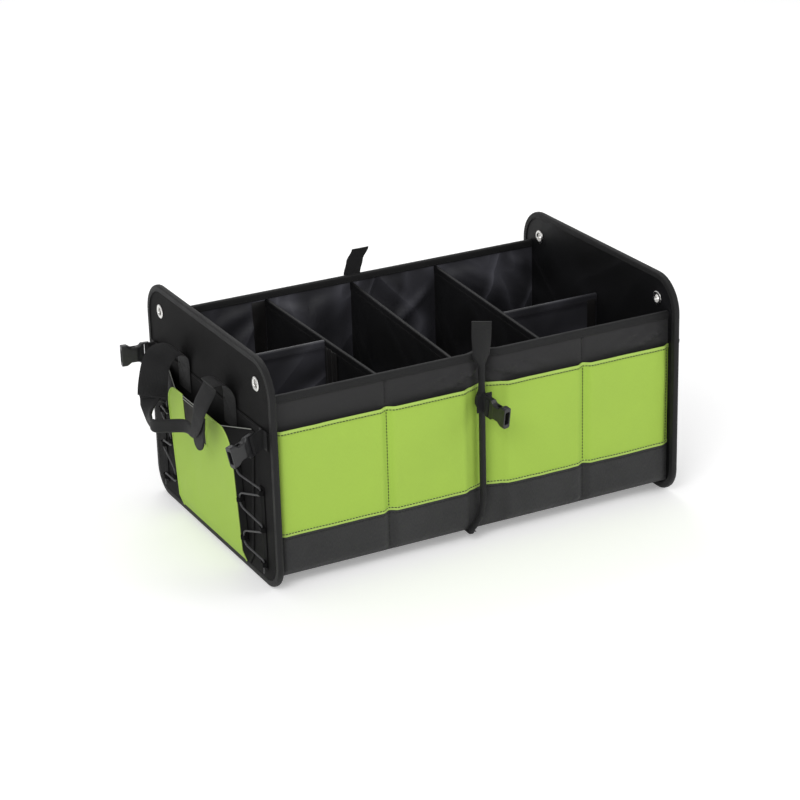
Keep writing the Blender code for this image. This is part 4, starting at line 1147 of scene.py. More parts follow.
@dataclass(frozen=True)
class FrontPockets:
    """The pocket cloth on the front wall: a coloured band with two hems over a black band."""

    carcass: Carcass
    seam_z: float = 0.073
    foot: float = 0.028
    belly: float = 0.0055
    ramp: float = 0.011
    cloth: float = 0.0010
    seams: tuple[float, float] = (-0.131, 0.155)
    hem: float = 0.0052
    wrinkle: float = 0.0011
    fullness_of_cloth: float = 0.014
    step: float = 0.004

    def edges(self) -> list[float]:
        """Gives the places along the wall where the pockets are sewn down."""
        c = self.carcass
        return [-c.wall_end, self.seams[0], c.strap_x, self.seams[1], c.wall_end]

    def fullness(self, x: float, z: float) -> float:
        """Gives how far a pocket stands off the wall, as a share of its belly.

        Args:
            x: Place along the wall.
            z: Height.

        Returns:
            The share, 0 to 1.
        """
        c = self.carcass
        near = min(abs(x - edge) - (c.crease_half if edge == c.strap_x else 0.0) for edge in self.edges())
        return eased(max(0.0, near) / self.ramp) * eased((z - c.bottom) / (self.foot - c.bottom))

    def point(self, x: float, z: float, proud: float = 0.0) -> Vector:
        """Gives a point on the pocket cloth.

        Args:
            x: Place along the wall.
            z: Height.
            proud: How far it stands in front of the cloth's middle.

        Returns:
            The point.
        """
        c = self.carcass
        wave = wavy(x * 21, z * 13, 2.3) + 0.5 * wavy(x * 47 + z * 20, z * 31, 7.1)
        out = self.fullness(x, z) * (self.belly + self.wrinkle * wave) + proud
        return Vector((x, c.crease(x, z) - (c.half_depth + c.gap + self.cloth / 2) - out, z))

    def stations(self) -> list[float]:
        """Gives places along the wall, closer together beside the seams.

        Returns:
            The places along X.
        """
        found = []
        for start, end in zip(self.edges(), self.edges()[1:]):
            found += spaced(start, start + self.ramp, self.step / 2)[:-1]
            found += spaced(start + self.ramp, end - self.ramp, self.step)[:-1]
            found += spaced(end - self.ramp, end, self.step / 2)[:-1]
        return found + [self.edges()[-1]]

    def band(self, name: str, high: float, low: float, thick: float, proud: float = 0.0) -> Obj:
        """Makes one band of pocket cloth between two heights, standing proud of the rest by a distance."""
        levels = spaced(high, low, min(self.step, (high - low) / 2))
        return cloth_sheet(name, [[self.point(x, z, proud) for x in self.stations()] for z in levels], thick, 0.0003)

    def dress(self) -> None:
        """Builds both bands, the coloured band's hems and all the seams."""
        c = self.carcass
        top, seam_z, length = c.pocket_top, self.seam_z, 2 * c.wall_end + self.fullness_of_cloth
        for name, node, high, low, drop, finish in (
                ("green_pocket_band", "green_band", top, seam_z, 0.0, GREEN_CLOTH),
                ("lower_pocket_band", "lower_band", seam_z, c.bottom, c.gap, POCKET_BLACK)):
            place_sheet(self.band(name, high - drop, low, self.cloth), finish, f"front_pocket_{node}",
                        (length, high - low), "front_wall_cloth")
        for name, high, low in (("top", top + 0.0004, top - self.hem),
                                ("foot", seam_z + self.hem - 0.001, seam_z - 0.0008)):
            hem = self.band(f"green_band_{name}_hem", high, low, 0.0006, self.cloth / 2 + 0.0004)
            place(hem, LIT_GREEN_EDGE)
        self.sew()

    def sew(self) -> None:
        """Sews the hems along the wall and the pockets' sides down it."""
        c, run, face = self.carcass, self.stations()[1:-1], self.cloth / 2 + LIFT
        heights = spaced(c.pocket_top - 0.002, c.bottom + 0.004, 0.01)
        lines = [[self.point(x, z, proud) for x in run]
                 for z, proud in ((c.pocket_top - self.hem + 0.001, self.cloth / 2 + 0.0009),
                                  (self.seam_z + self.hem - 0.0022, self.cloth / 2 + 0.0009),
                                  (self.seam_z - 0.0045, face))]
        lines += [[self.point(edge, z, face) for z in heights]
                  for edge in (*self.seams, 0.004 - c.wall_end, c.wall_end - 0.004)]
        POCKETED.sew("front_pocket_stitches", [(line, FRONTWARD) for line in lines])


@dataclass(frozen=True)
class Base:
    """The cloth floor and the two loose covered boards on it."""

    carcass: Carcass
    cloth: float = 0.0012
    board: float = 0.0040
    margin: float = 0.0015

    def dress(self) -> None:
        """Builds the cloth and both boards."""
        c = self.carcass
        deep = c.inner_y - c.gap
        cloth = self.flat("floor_cloth", (-c.wall_end, c.wall_end), deep, c.bottom + self.cloth / 2, 0.02, self.cloth)
        place_sheet(cloth, BLACK_CLOTH, "base_cloth", (2 * c.wall_end, 2 * deep), "front_wall_cloth", "rear_wall_cloth")
        level = c.bottom + self.cloth + c.gap + self.board / 2
        edge = c.wall_end - self.margin
        for part, ends in (("left", (-edge, c.strap_x - c.gap)), ("right", (c.strap_x + c.gap, edge))):
            board = self.flat(f"floor_board_{part}", ends, deep - self.margin, level, 0.012, self.board, 0.0009)
            place(board, SHADED_LINING, f"base_board_{part}")

    def flat(self, name: str, ends: tuple[float, float], half: float, level: float, step: float, thick: float,
             edge: float = 0.0) -> Obj:
        """Makes a level sheet between two ends along X, with points a step apart."""
        rows = [[Vector((x, y, level)) for x in spaced(*ends, step)] for y in spaced(-half, half, step)]
        return cloth_sheet(name, rows, thick, edge)


@dataclass(frozen=True)
class Divider:
    """A cloth-covered board across a bay, with a thicker hem on top."""

    carcass: Carcass
    name: str
    start: tuple[float, float]
    end: tuple[float, float]
    start_across: tuple[float, float]
    end_across: tuple[float, float]
    top: float
    thick: float = 0.0034
    hem: float = 0.0050
    hem_height: float = 0.011
    finish: Finish = SHADED_LINING
    wrinkle: float = 0.0009
    hem_rows: tuple[float, ...] = (0.0002, 0.001, 0.004, 0.008)
    crown: tuple[tuple[float, float], ...] = ((0.0003, 0.75), (0.0, 0.0), (0.0003, -0.75))
    sewn: float = 0.0024
    step: float = 0.006

    def at(self, share: float, z: float) -> tuple[Vector, Vector]:
        """Gives a point of the middle layer at a share of the length, and the direction across it."""
        return (Vector((*self.start, z)).lerp(Vector((*self.end, z)), share),
                Vector((*self.start_across, 0)).lerp(Vector((*self.end_across, 0)), share))

    def half_thick(self, z: float) -> float:
        """Gives half the divider's thickness at a height."""
        rise = eased((z - self.top + self.hem_height + 0.0008) / 0.0012)
        return (self.thick + (self.hem - self.thick) * rise) / 2

    def section(self, share: float) -> list[Vector]:
        """Gives the closed section at a share of the divider's length.

        Args:
            share: Share of the length, 0 to 1.

        Returns:
            The points of the section.
        """
        low, hem_z = self.carcass.floor + self.carcass.gap, self.top - self.hem_height
        calm = eased(min(share, 1 - share) / 0.06)
        heights = spaced(low, hem_z - 0.001, self.step) + [hem_z + rise for rise in self.hem_rows]
        heights.append(self.top - 0.0012)
        sides = []
        for face in (1, -1):
            side = []
            for z in heights:
                fade = calm * eased((z - low) / 0.03) * eased((hem_z - z) / 0.02)
                spot = Vector((share * 7.5 + z * 6, z * 19, face * 3.7 + len(self.name)))
                fold = self.wrinkle * fade * (noise.noise(spot) + 0.7 * (1 - 2 * abs(noise.noise(spot * 0.7))))
                middle, across = self.at(share, z)
                side.append(middle + across * face * (self.half_thick(z) + fold))
            sides.append(side)
        crown = [self.at(share, self.top - drop)[0] + self.at(share, 0)[1] * self.half_thick(self.top) * part
                 for drop, part in self.crown]
        return sides[0] + crown + sides[1][::-1]

    def dress(self) -> None:
        """Builds the divider and the seam under its hem."""
        rows = [self.section(share) for share in spaced(0, 1, self.step / math.dist(self.start, self.end))]
        place(settle(grid_object(f"{self.name}_cloth", rows, ring=True, caps=True), SOFT_ANGLE), self.finish, self.name)
        z, seams = self.top - self.hem_height + self.sewn, []
        for face in (1, -1):
            spots = [self.at(share, z) for share in spaced(0.02, 0.98, 0.1)]
            seams.append(([middle + across * face * self.hem / 2 for middle, across in spots],
                          Vector((*self.start_across, 0)) * face))
        PLAIN.sew(f"{self.name}_stitches", seams)


@dataclass(frozen=True)
class Dividers:
    """All five dividers."""

    carcass: Carcass
    drop: float = 0.0103
    left_bay_y: float = -0.010
    right_bay_y: float = 0.0
    right_bay_drop: float = 0.018
    tape_off: float = 0.0032
    ends: tuple[tuple[str, float, float], ...] = (
        ("divider_left", -0.130, -0.130), ("divider_middle", -0.0245, -0.001), ("divider_right", 0.105, 0.130))

    def x_at(self, row: int, y: float) -> float:
        """Gives a cross divider's X at some depth."""
        _, front, rear = self.ends[row]
        return front + (rear - front) * (y + self.carcass.inner_y) / (2 * self.carcass.inner_y)

    def dress(self) -> None:
        """Builds the three cross dividers, the one in each end bay and their tapes."""
        c = self.carcass
        reach, top = c.inner_y - c.gap, c.top - self.drop
        for row, (name, _, _) in enumerate(self.ends):
            start, end = ((self.x_at(row, y), y) for y in (-reach, reach))
            Divider(c, name, start, end, (1, 0), (1, 0), top).dress()
        clear = Divider.hem / 2 + c.gap
        for row, side, y, high in ((0, Side.LEFT, self.left_bay_y, top),
                                   (2, Side.RIGHT, self.right_bay_y, top - self.right_bay_drop)):
            slope = (self.ends[row][2] - self.ends[row][1]) / (2 * c.inner_y)
            inner = (self.x_at(row, y) + side.value * clear, y)
            Divider(c, f"bay_divider_{side.name.lower()}", (side.value * c.wall_end, y), inner, (0, 1), (slope, 1),
                    high, finish=LINING).dress()
        self.seat_tapes(top)

    def seat_tapes(self, top: float) -> None:
        """Makes an upright tape where the left short divider ends, and one on the right short divider.

        Args:
            top: Height of the dividers.
        """
        c, wide, low = self.carcass, 0.034, self.carcass.floor + 0.004

        def seat(w: float, z: float) -> Vector:
            """Gives the left tape's middle layer, with soft upright pleats."""
            pleat = 0.0011 * math.sin(math.pi * w / wide) * (1 + math.cos(4.6 * math.pi * w / wide + 9 * z))
            return Vector((self.ends[0][1] - self.tape_off - pleat, self.left_bay_y - 0.004 - w, z))
        upright_tape("divider_left_tape", seat, wide, low, top - 0.007)
        upright_tape("bay_divider_right_tape",
                     lambda w, z: Vector((c.wall_end - 0.003 - w, self.right_bay_y - self.tape_off, z)), 0.013, low,
                     top - self.right_bay_drop - 0.007)


@dataclass(frozen=True)
class Strap:
    """The long webbing strap under the organizer and up both walls, with a free tail at each end."""

    carcass: Carcass
    width: float = 0.025
    thick: float = 0.0015
    roll: float = 5.5
    roll_at_tab: float = 3.2
    roll_half: float = 0.022
    pinch: float = 0.32
    twist: float = -32.0
    tab_z: float = 0.193
    tail_top: float = 0.303
    tail_tilt: float = 0.003
    tail_shift: float = -0.003
    hem: float = 0.014
    stand_off: float = 0.0085
    off_fold: float = -0.005
    proud_foot: float = 0.0025
    under_shift: float = -0.0205
    under: float = 0.0016
    sag: float = 0.002
    sag_length: float = 0.040
    bend: float = 0.003
    rear_stand_off: float = 0.0016
    rear_tail: float = 0.035
    rear_tilt: float = 0.004
    lean: float = 0.012
    columns: int = 14
    step: float = 0.003

    @property
    def x(self) -> float:
        """Where the strap's middle is along the walls."""
        return self.carcass.strap_x + self.off_fold

    @property
    def front_y(self) -> float:
        """Where the strap's middle layer is on the front wall."""
        return -self.carcass.half_depth - self.stand_off

    @property
    def rear_y(self) -> float:
        """Where the strap's middle layer is on the rear wall."""
        c = self.carcass
        return c.half_depth + c.gap + c.tape + self.rear_stand_off

    def keys(self) -> list[Key]:
        """Gives the route from front to rear as y, z, outward y, outward z, roll, shift to +X and twist.

        Returns:
            The keys, from the front tail to the rear tail.
        """
        c, front, roll, rear = self.carcass, self.front_y, self.roll, self.rear_y
        foot, low, bend, near = front - self.proud_foot, c.bottom - self.under, self.bend, 0.3 * self.bend
        shift, tail, twist = self.under_shift, self.tail_shift, self.twist
        return [
            (front - self.tail_tilt, self.tail_top, -1, 0, 0, tail, twist),
            (front - 0.4 * self.tail_tilt, self.tail_top - self.hem, -1, 0, 0.1 * roll, 0.8 * tail, 0.8 * twist),
            (front, c.top + c.tape, -1, 0, 0.3 * roll, 0.4 * tail, 0.4 * twist),
            (front, (c.top + c.pocket_top) / 2, -1, 0, 0.95 * roll, 0, 0),
            (front, self.tab_z + self.roll_half, -1, 0, roll, 0, 0),
            (front, self.tab_z, -1, 0, self.roll_at_tab, 0, 0),
            (front, self.tab_z - self.roll_half, -1, 0, roll, 0, 0),
            (front, c.crease_full, -1, 0, roll, 0, 0),
            (foot, (c.crease_full + c.crease_foot) / 2, -1, 0, roll, 0.06 * shift, 0),
            (foot, (c.crease_full + 5 * c.crease_foot) / 6, -1, 0, roll, 0.2 * shift, 0),
            (foot, c.crease_foot, -1, 0, roll, 0.45 * shift, 0),
            (foot, low + 2.5 * bend, -1, 0, roll, 0.7 * shift, 0),
            (foot, low + bend, -1, 0, roll, 0.92 * shift, 0),
            (foot + near, low - self.sag + near, -1, -1, roll, shift, 0),
            (foot + bend, low - self.sag, 0, -1, roll, shift, 0),
            (foot + self.sag_length / 2, low - self.sag / 2, 0, -1, roll, shift, 0),
            (foot + self.sag_length, low, 0, -1, 0, shift, 0),
            (rear - bend, low, 0, -1, 0, 0, 0),
            (rear - near, low + near, 1, -1, 0, 0, 0),
            (rear, low + bend, 1, 0, 0, 0, 0),
            (rear, c.top, 1, 0, 0, 0, 0),
            (rear - self.rear_tilt / 2, c.top + self.rear_tail / 2, 1, 0, 0, 0.3 * self.lean, 0),
            (rear - self.rear_tilt, c.top + self.rear_tail, 1, 0.4, 0, self.lean, 0),
        ]

    def row(self, key: Key, proud: float = 0.0) -> list[Vector]:
        """Gives one row of points across the strap, rolled into a gutter where the key says so.

        Args:
            key: One of the route's keys.
            proud: How far the row stands outside the strap's middle layer.

        Returns:
            The row's points, from -X to +X.
        """
        y, z, out_y, out_z, roll, shift, twist = key
        outward = Vector((0, out_y, out_z)).normalized()
        turned = Matrix.Rotation(math.radians(twist), 3, "Z")
        found = []
        for i in range(self.columns + 1):
            sideways, back = self.width * (i / self.columns - 0.5), -proud
            if roll > 1e-6:
                radius = self.width / roll
                angle = sideways / radius
                pinch = 1 - self.pinch * eased((roll - self.roll_at_tab) / 1.5)
                sideways = pinch * (radius + proud) * math.sin(angle)
                back = (1 - 0.8 * abs(outward.z)) * (radius - (radius + proud) * math.cos(angle))
            found.append(Vector((self.x + shift, y, z)) + turned @ (Vector((sideways, 0, 0)) - outward * back))
        return found

    def between(self, start: Key, end: Key, share: float) -> Key:
        """Gives a key between two others, with its roll, shift and twist eased."""
        soft = eased(share)
        return tuple(a + (b - a) * (share if i < 4 else soft) for i, (a, b) in enumerate(zip(start, end)))

    def dress(self) -> None:
        """Builds the strap, and doubles the end of its front tail over and sews it down."""
        keys, rows = self.keys(), []
        for start, end in zip(keys, keys[1:]):
            step = min(1.0, self.step / math.dist(start[:2], end[:2]))
            rows += [self.row(self.between(start, end, share)) for share in spaced(0, 1, step)[:-1]]
        rows.append(self.row(keys[-1]))
        place(cloth_sheet("long_strap", rows, self.thick, WEB_EDGE), STRAP_WEBBING, "centre_strap")
        top, fold, inside = keys[0], keys[1], -(self.thick + LIFT)
        rows = [self.row(self.between(top, fold, share), inside) for share in spaced(0.02, 1, 0.2)]
        place(cloth_sheet("long_strap_hem", rows, self.thick, WEB_EDGE), STRAP_WEBBING)
        line = self.row(self.between(top, fold, 0.86), self.thick / 2)[1:-1]
        PLAIN.sew("long_strap_stitches", [(line, FRONTWARD)])


@dataclass(frozen=True)
class Tab:
    """A folded piece of webbing that holds a buckle by its bar."""

    name: str
    root: tuple[float, float, float]
    outward: tuple[float, float, float]
    lean: float
    reach: float
    width: float = 0.025
    thick: float = 0.0015
    gap: float = 0.0003
    foot: float = 0.011
    root_gap: float = 0.0012
    bar: float = 0.0020
    wrap_start: float = 140.0
    sewn_at: float = 0.75
    sewn_half: float = 0.010
    steps: int = 12

    def place_of(self, lean: float) -> Matrix:
        """Gives the tab's matrix: X leads out of the face, Y lies along the bar.

        Args:
            lean: Degrees that the tab leans to one side.

        Returns:
            The matrix.
        """
        along = Vector(self.outward).normalized()
        upright = Vector((0, 0, 1))
        turned = Matrix((along, upright, along.cross(upright))).transposed().to_4x4()
        return Matrix.Translation(self.root) @ turned @ Matrix.Rotation(math.radians(lean), 4, "Z")

    def profile(self) -> Profile:
        """Gives the tab's centre line, out from its sewn feet and round the bar.

        Returns:
            The points of the centre line.
        """
        thick, base, pitch = self.thick, self.gap + self.thick / 2, (self.thick + self.gap) / 2
        wrap = self.bar + self.gap + thick / 2
        spread = pitch + self.root_gap
        half = [(base, self.foot), (base, 0.6 * self.foot), (base, spread + thick),
                (base + 0.2 * thick, spread + 0.3 * thick), (base + 0.7 * thick, spread - 0.3 * self.root_gap),
                (base + 1.5 * thick, pitch), (max(self.reach - 3 * wrap, base + 2 * thick), pitch)]
        for i in range(self.steps + 1):
            angle = math.radians(self.wrap_start * (1 - i / self.steps))
            half.append((self.reach + wrap * math.cos(angle), wrap * math.sin(angle)))
        return half + [(u, -v) for u, v in reversed(half[:-1])]

    def dress(self) -> None:
        """Builds the tab and the seams through its feet."""
        start = self.gap + self.thick
        end = self.reach - start - self.bar
        rows = []
        for u, v in self.profile():
            turned = self.place_of(self.lean * within((u - start) / (end - start)))
            rows.append([turned @ Vector((u, w, v)) for w in spaced(-self.width / 2, self.width / 2, 0.005)])
        place(cloth_sheet(f"{self.name}_webbing", rows, self.thick, WEB_EDGE), WEBBING, self.name)
        flat = self.place_of(0.0)
        SHORT.sew(f"{self.name}_stitches", [
            ([flat @ Vector((start, w, side * self.sewn_at * self.foot)) for w in (-self.sewn_half, self.sewn_half)],
             Vector(self.outward)) for side in (-1, 1)])


@dataclass(frozen=True)
class Handle:
    """A carrying handle of wide webbing, folded in half along its grip."""

    carcass: Carcass
    side: Side
    width: float = 0.038
    cloth: float = 0.0016
    grip_width: float = 0.018
    grip_thick: float = 0.0042
    leg_y: float = 0.067
    sewn_bottom: float = 0.186
    sewn_box: tuple[float, float] = (0.004, 0.034)
    top: float = 0.247
    reach: float = 0.068
    grip_z: float = 0.167
    lift: float = 0.020
    splay: float = 0.005
    half_grip: float = 0.018
    tilt: float = 0.008
    skew: float = 0.024
    tongue_z: tuple[float, float] = (0.206, 0.1545)
    tongue_y: tuple[float, float] = (-0.0650, -0.0535)
    tongue_half: float = 0.0160
    tongue_inset: float = 0.0035
    tongue_sewn: float = 0.003
    steps: int = 9
    columns: int = 10

    @property
    def face(self) -> float:
        """Where the sewn legs lie, from the middle of the organizer."""
        c, backed = self.carcass, self.side is Side.LEFT
        return c.outer_x + c.gap + self.cloth / 2 + (c.gap + c.backing if backed else 0.0)

    def leg(self, out: float, grip_z: float, slack: bool) -> list[Key]:
        """Gives the keys of one half of the handle, from its sewn end to the middle of its grip.

        Args:
            out: Where the grip is, along X.
            grip_z: Height of the grip.
            slack: Whether it hangs slack and turns its outer edge down and out.

        Returns:
            Keys of x, y, z, the direction of the width, the width and the thickness.
        """
        face, leg, top, wide, thin, rise = self.face, self.leg_y, self.top, self.width, self.cloth, self.lift
        folding, grip, thick = (self.cloth + self.grip_thick) / 2, self.grip_width, self.grip_thick
        tight = [
            (face, leg + self.splay, top - rise, 0, 1, 0, wide, thin),
            (face + 0.5 * rise, leg, top - 0.1 * rise, 0, 1, 0, wide, thin),
            (face + 1.3 * rise, leg, top, 0, 1, 0, wide, thin),
            (out - 0.9 * rise, leg, top - 0.3 * rise, 0, 1, -0.05, wide, thin),
            (out - 0.2 * rise, leg, top - 1.5 * rise, 0, 0.97, -0.24, 0.88 * wide, 0.8 * folding),
            (out, leg - 0.25 * rise, grip_z + rise, 0, 0.80, -0.60, 0.66 * wide, folding),
            (out, leg - 1.05 * rise, grip_z + 0.15 * rise, 0, 0.2, -0.98, grip, thick),
        ]
        hanging = [
            (face, leg + self.splay, top - 1.2 * rise, 0, 1, 0, wide, thin),
            (face + 0.4 * rise, leg + 0.1 * rise, top - 0.3 * rise, 0.12, 0.98, 0.10, wide, thin),
            (face + 1.2 * rise, leg, top - 0.1 * rise, 0.28, 0.93, 0.25, wide, thin),
            (out - 1.3 * rise, leg - 0.1 * rise, top - 0.6 * rise, 0.58, 0.70, 0.42, wide, thin),
            (out - 0.9 * rise, leg - 0.15 * rise, top - 2.0 * rise, 0.83, 0.53, 0.17, wide, thin),
            (out - 0.75 * rise, leg - 0.25 * rise, top - 2.95 * rise, 0.88, 0.46, 0, wide, 0.8 * folding),
            (out - 0.45 * rise, leg - 0.5 * rise, grip_z + 0.85 * rise, 0.70, 0.42, -0.55, 0.8 * wide, folding),
            (out - 0.15 * rise, leg - 1.05 * rise, grip_z + 0.3 * rise, 0.30, 0.30, -0.90, 0.6 * wide, thick),
            (out, leg - 1.65 * rise, grip_z + 0.05 * rise, 0, 0.12, -0.99, grip, thick),
        ]
        return [(face, leg + self.splay, self.sewn_bottom, 0, 1, 0, wide, thin), *(hanging if slack else tight),
                (out, self.half_grip, grip_z, 0, 0, -1, grip, thick)]

    def route(self) -> list[Key]:
        """Gives the whole handle's smooth keys, from its rear leg to its front leg.

        Returns:
            Keys in the same form as those of a leg.
        """
        out = self.carcass.outer_x + self.reach
        keys = self.leg(out, self.grip_z, True)
        keys += [(x, -y, z, wx, -wy, wz, wide, thick) for x, y, z, wx, wy, wz, wide, thick
                 in reversed(self.leg(out - self.skew, self.grip_z + self.tilt, False))]
        keys = [keys[0], *keys, keys[-1]]
        found = []
        for around in zip(keys, keys[1:], keys[2:], keys[3:]):
            for t in (i / self.steps for i in range(self.steps)):
                found.append(tuple(0.5 * (2 * b + (c - a) * t + (2 * a - 5 * b + 4 * c - d) * t**2
                                          + (3 * b - a - 3 * c + d) * t**3) for a, b, c, d in zip(*around)))
        return [(max(self.face, x), *rest) for x, *rest in [*found, keys[-1]]]

    def sections(self) -> Rows:
        """Gives the handle's closed sections, each a flat oval.

        Returns:
            One ring of points for each key.
        """
        sign, keys = self.side.value, self.route()
        middles = [Vector((sign * x, y, z)) for x, y, z, *_ in keys]
        found = []
        for i, (*_, width_x, width_y, width_z, wide, thick) in enumerate(keys):
            forward, width = ahead_of(middles, i), Vector((sign * width_x, width_y, width_z))
            width = (width - forward * width.dot(forward)).normalized()
            face, ring = forward.cross(width), []
            for up in (1, -1):
                for share in spaced(-up, up, 2 / self.columns):
                    slim = (1 - abs(share) ** 8) ** 0.5 if abs(share) < 1 else 0.0
                    ring.append(middles[i] + width * wide / 2 * share + face * up * thick / 2 * (0.25 + 0.75 * slim))
            found.append(ring)
        return found

    def dress(self) -> None:
        """Builds the handle, with a crossed box sewn through each leg, and its tongue."""
        sign, name, seams = self.side.value, f"{self.side.name.lower()}_handle", []
        place(settle(grid_object(f"{name}_webbing", self.sections(), ring=True, caps=True), SOFT_ANGLE), WEBBING, name)
        x, half = sign * (self.face + self.cloth / 2), self.width / 2 - self.sewn_box[0]
        low, high = (self.sewn_bottom + rise for rise in self.sewn_box)
        for end in (-1, 1):
            middle = end * (self.leg_y + self.splay)
            a, b, c, d = (Vector((x, middle + y, z))
                          for y, z in ((-half, low), (half, low), (half, high), (-half, high)))
            seams += [(pair, Vector((sign, 0, 0))) for pair in ((a, b), (b, c), (c, d), (d, a), (a, c), (b, d))]
        PLAIN.sew(f"{name}_stitches", seams)
        self.tongue(name)

    def tongue(self, name: str) -> None:
        """Lets the front leg run on below the grip as a flat tongue with a rounded, sewn end.

        Args:
            name: Name of the handle.
        """
        sign, half, (top, tip), (start, end) = self.side.value, self.tongue_half, self.tongue_z, self.tongue_y
        x = sign * (self.carcass.outer_x + self.reach - self.skew - self.tongue_inset)
        rows, marks = [], []
        for z in spaced(top, tip, 0.002):
            middle = start + (end - start) * (top - z) / (top - tip)
            wide = max(0.002, half * math.sqrt(1 - (1 - min(1.0, (z - tip) / half)) ** 2))
            rows.append([Vector((x, middle + wide * share, z)) for share in spaced(-1, 1, 0.25)])
            if wide > 0.007:
                marks.append((Vector((x + sign * self.cloth / 2, middle, z)), Vector((0, wide - self.tongue_sewn, 0))))
        place(cloth_sheet(f"{name}_tongue", rows, self.cloth, WEB_EDGE), WEBBING)
        outline = [spot + aside for spot, aside in marks] + [spot - aside for spot, aside in reversed(marks)]
        PLAIN.sew(f"{name}_tongue_stitches", [(outline, Vector((sign, 0, 0)))])


@dataclass(frozen=True)
class EndPocket:
    """The pocket on the left end: lower cloth, coloured face, dark insert and two folded sides."""

    carcass: Carcass
    backing_top: float = 0.215
    sewn_below: float = 0.003
    cloth: float = 0.0010
    half: float = 0.100
    top: float = 0.189
    bottom: float = 0.010
    foot: float = 0.026
    foot_out: float = 0.0055
    top_out: float = 0.0145
    corner: float = 0.033
    corner_inset: float = 0.028
    corner_steps: int = 12
    notch: tuple[float, float] = (-0.022, 0.048)
    notch_bottom: float = 0.142
    fullness: float = 0.0014
    wave: float = 0.0011
    spread: float = 2.3
    side_flat: float = 0.038
    flange: float = 0.009
    rise: float = 0.014
    edge_radius: float = 0.0010
    line_radius: float = 0.0007
    line_drops: tuple[float, float] = (0.0012, 0.0052)
    step: float = 0.004

    @property
    def seat(self) -> float:
        """How far out the pocket's cloth lies where it is sewn down."""
        c = self.carcass
        return c.outer_x + 2 * c.gap + c.backing + self.cloth / 2

    def out(self, z: float) -> float:
        """Gives how far the pocket's face stands off its seat.

        Args:
            z: Height.

        Returns:
            The distance along X.
        """
        if z <= self.foot:
            return self.foot_out * max(0.0, (z - self.bottom) / (self.foot - self.bottom))
        return self.foot_out + (self.top_out - self.foot_out) * (z - self.foot) / (self.top - self.foot)

    def half_width(self, z: float) -> float:
        """Gives half the face's width, with rounded top corners."""
        share = within(1 - (self.top - z) / self.corner)
        return self.half - self.corner_inset * (1 - math.sqrt(1 - share**2))

    def front_edge(self, z: float) -> float:
        """Gives where the face's front edge is."""
        return -self.half_width(z)

    def point(self, y: float, z: float, proud: float = 0.0) -> Vector:
        """Gives a point on the face, which is a little fuller in its middle.

        Args:
            y: Place across the face.
            z: Height.
            proud: How far it stands in front of the cloth's middle.

        Returns:
            The point.
        """
        across = max(0.0, 1 - (y / self.half) ** 2)
        upward = eased((z - self.bottom) / 0.04) * eased((self.top - z) / 0.05)
        full = across * upward * (self.fullness + self.wave * wavy(y * 26, z * 19, 5.5))
        return Vector((-self.seat - self.out(z) - full - proud, y, z))

    def heights(self) -> list[float]:
        """Gives the face's rows, closer together in its rounded corners.

        Returns:
            The heights, from the top down.
        """
        turns = [math.pi / 2 * i / self.corner_steps for i in range(self.corner_steps + 1)]
        return ([self.top - self.corner * (1 - math.cos(turn)) for turn in turns]
                + spaced(self.top - self.corner, self.bottom, self.step)[1:])

    def face(self, name: str, low: float, high: float, left: Callable[[float], float],
             right: Callable[[float], float]) -> Obj:
        """Makes a part of the face.

        Args:
            name: Name of the piece.
            low: Its lower edge.
            high: Its upper edge.
            left: Gives where it starts at a height.
            right: Gives where it ends at a height.

        Returns:
            The new piece.
        """
        levels = [high] + [z for z in self.heights() if low + 0.0008 < z < high - 0.0008] + [low]
        rows = [[self.point(y, z) for y in spaced(left(z), right(z), (right(z) - left(z)) / 30)] for z in levels]
        return cloth_sheet(name, rows, self.cloth)

    def dress(self) -> None:
        """Builds the pocket's cloth, its edges and its seams."""
        gap, (near, far), cut = self.carcass.gap, self.notch, self.notch_bottom
        self.lower_panel()
        cloth = joined([self.face("face_front", cut, self.top, self.front_edge, lambda z: near),
                        self.face("face_rear", cut, self.top, lambda z: far, self.half_width),
                        self.face("end_pocket_cloth", self.bottom, cut, self.front_edge, self.half_width)])
        place_sheet(cloth, GREEN_CLOTH, "end_pocket_face", (2 * self.half, self.top - self.bottom),
                    "end_pocket_side_front", "end_pocket_side_rear", held="hung")
        insert = self.face("end_pocket_insert", cut + gap, self.top - 0.001, lambda z: near + gap, lambda z: far - gap)
        place_sheet(insert, MESH, "end_pocket_mesh_insert", (far - near, self.top - cut), "end_pocket_cloth")
        self.edges()
        for wall in Wall:
            self.gusset(wall)

    def lower_panel(self) -> None:
        """Builds the black cloth sewn on the end panel under the pocket."""
        c = self.carcass
        low, x = c.tape_leg + c.gap, -(c.outer_x + c.gap + c.backing / 2)
        half = c.panel_width / 2 - low
        rows = arched(x, half, (low, self.backing_top), (c.bottom_radius - low, 0.0), 10, 0.01, 0.05)
        cloth = cloth_sheet("left_panel_lower_cloth", rows, c.backing, 0.0003)
        place_sheet(cloth, PANEL_CLOTH, "left_end_lower_panel", (2 * half, self.backing_top - low),
                    "left_panel_outer_cloth")
        line = [Vector((x - c.backing / 2, y, self.backing_top - self.sewn_below))
                for y in spaced(0.002 - half, half - 0.002, 0.01)]
        PLAIN.sew("lower_cloth_stitches", [(line, LEFTWARD)])

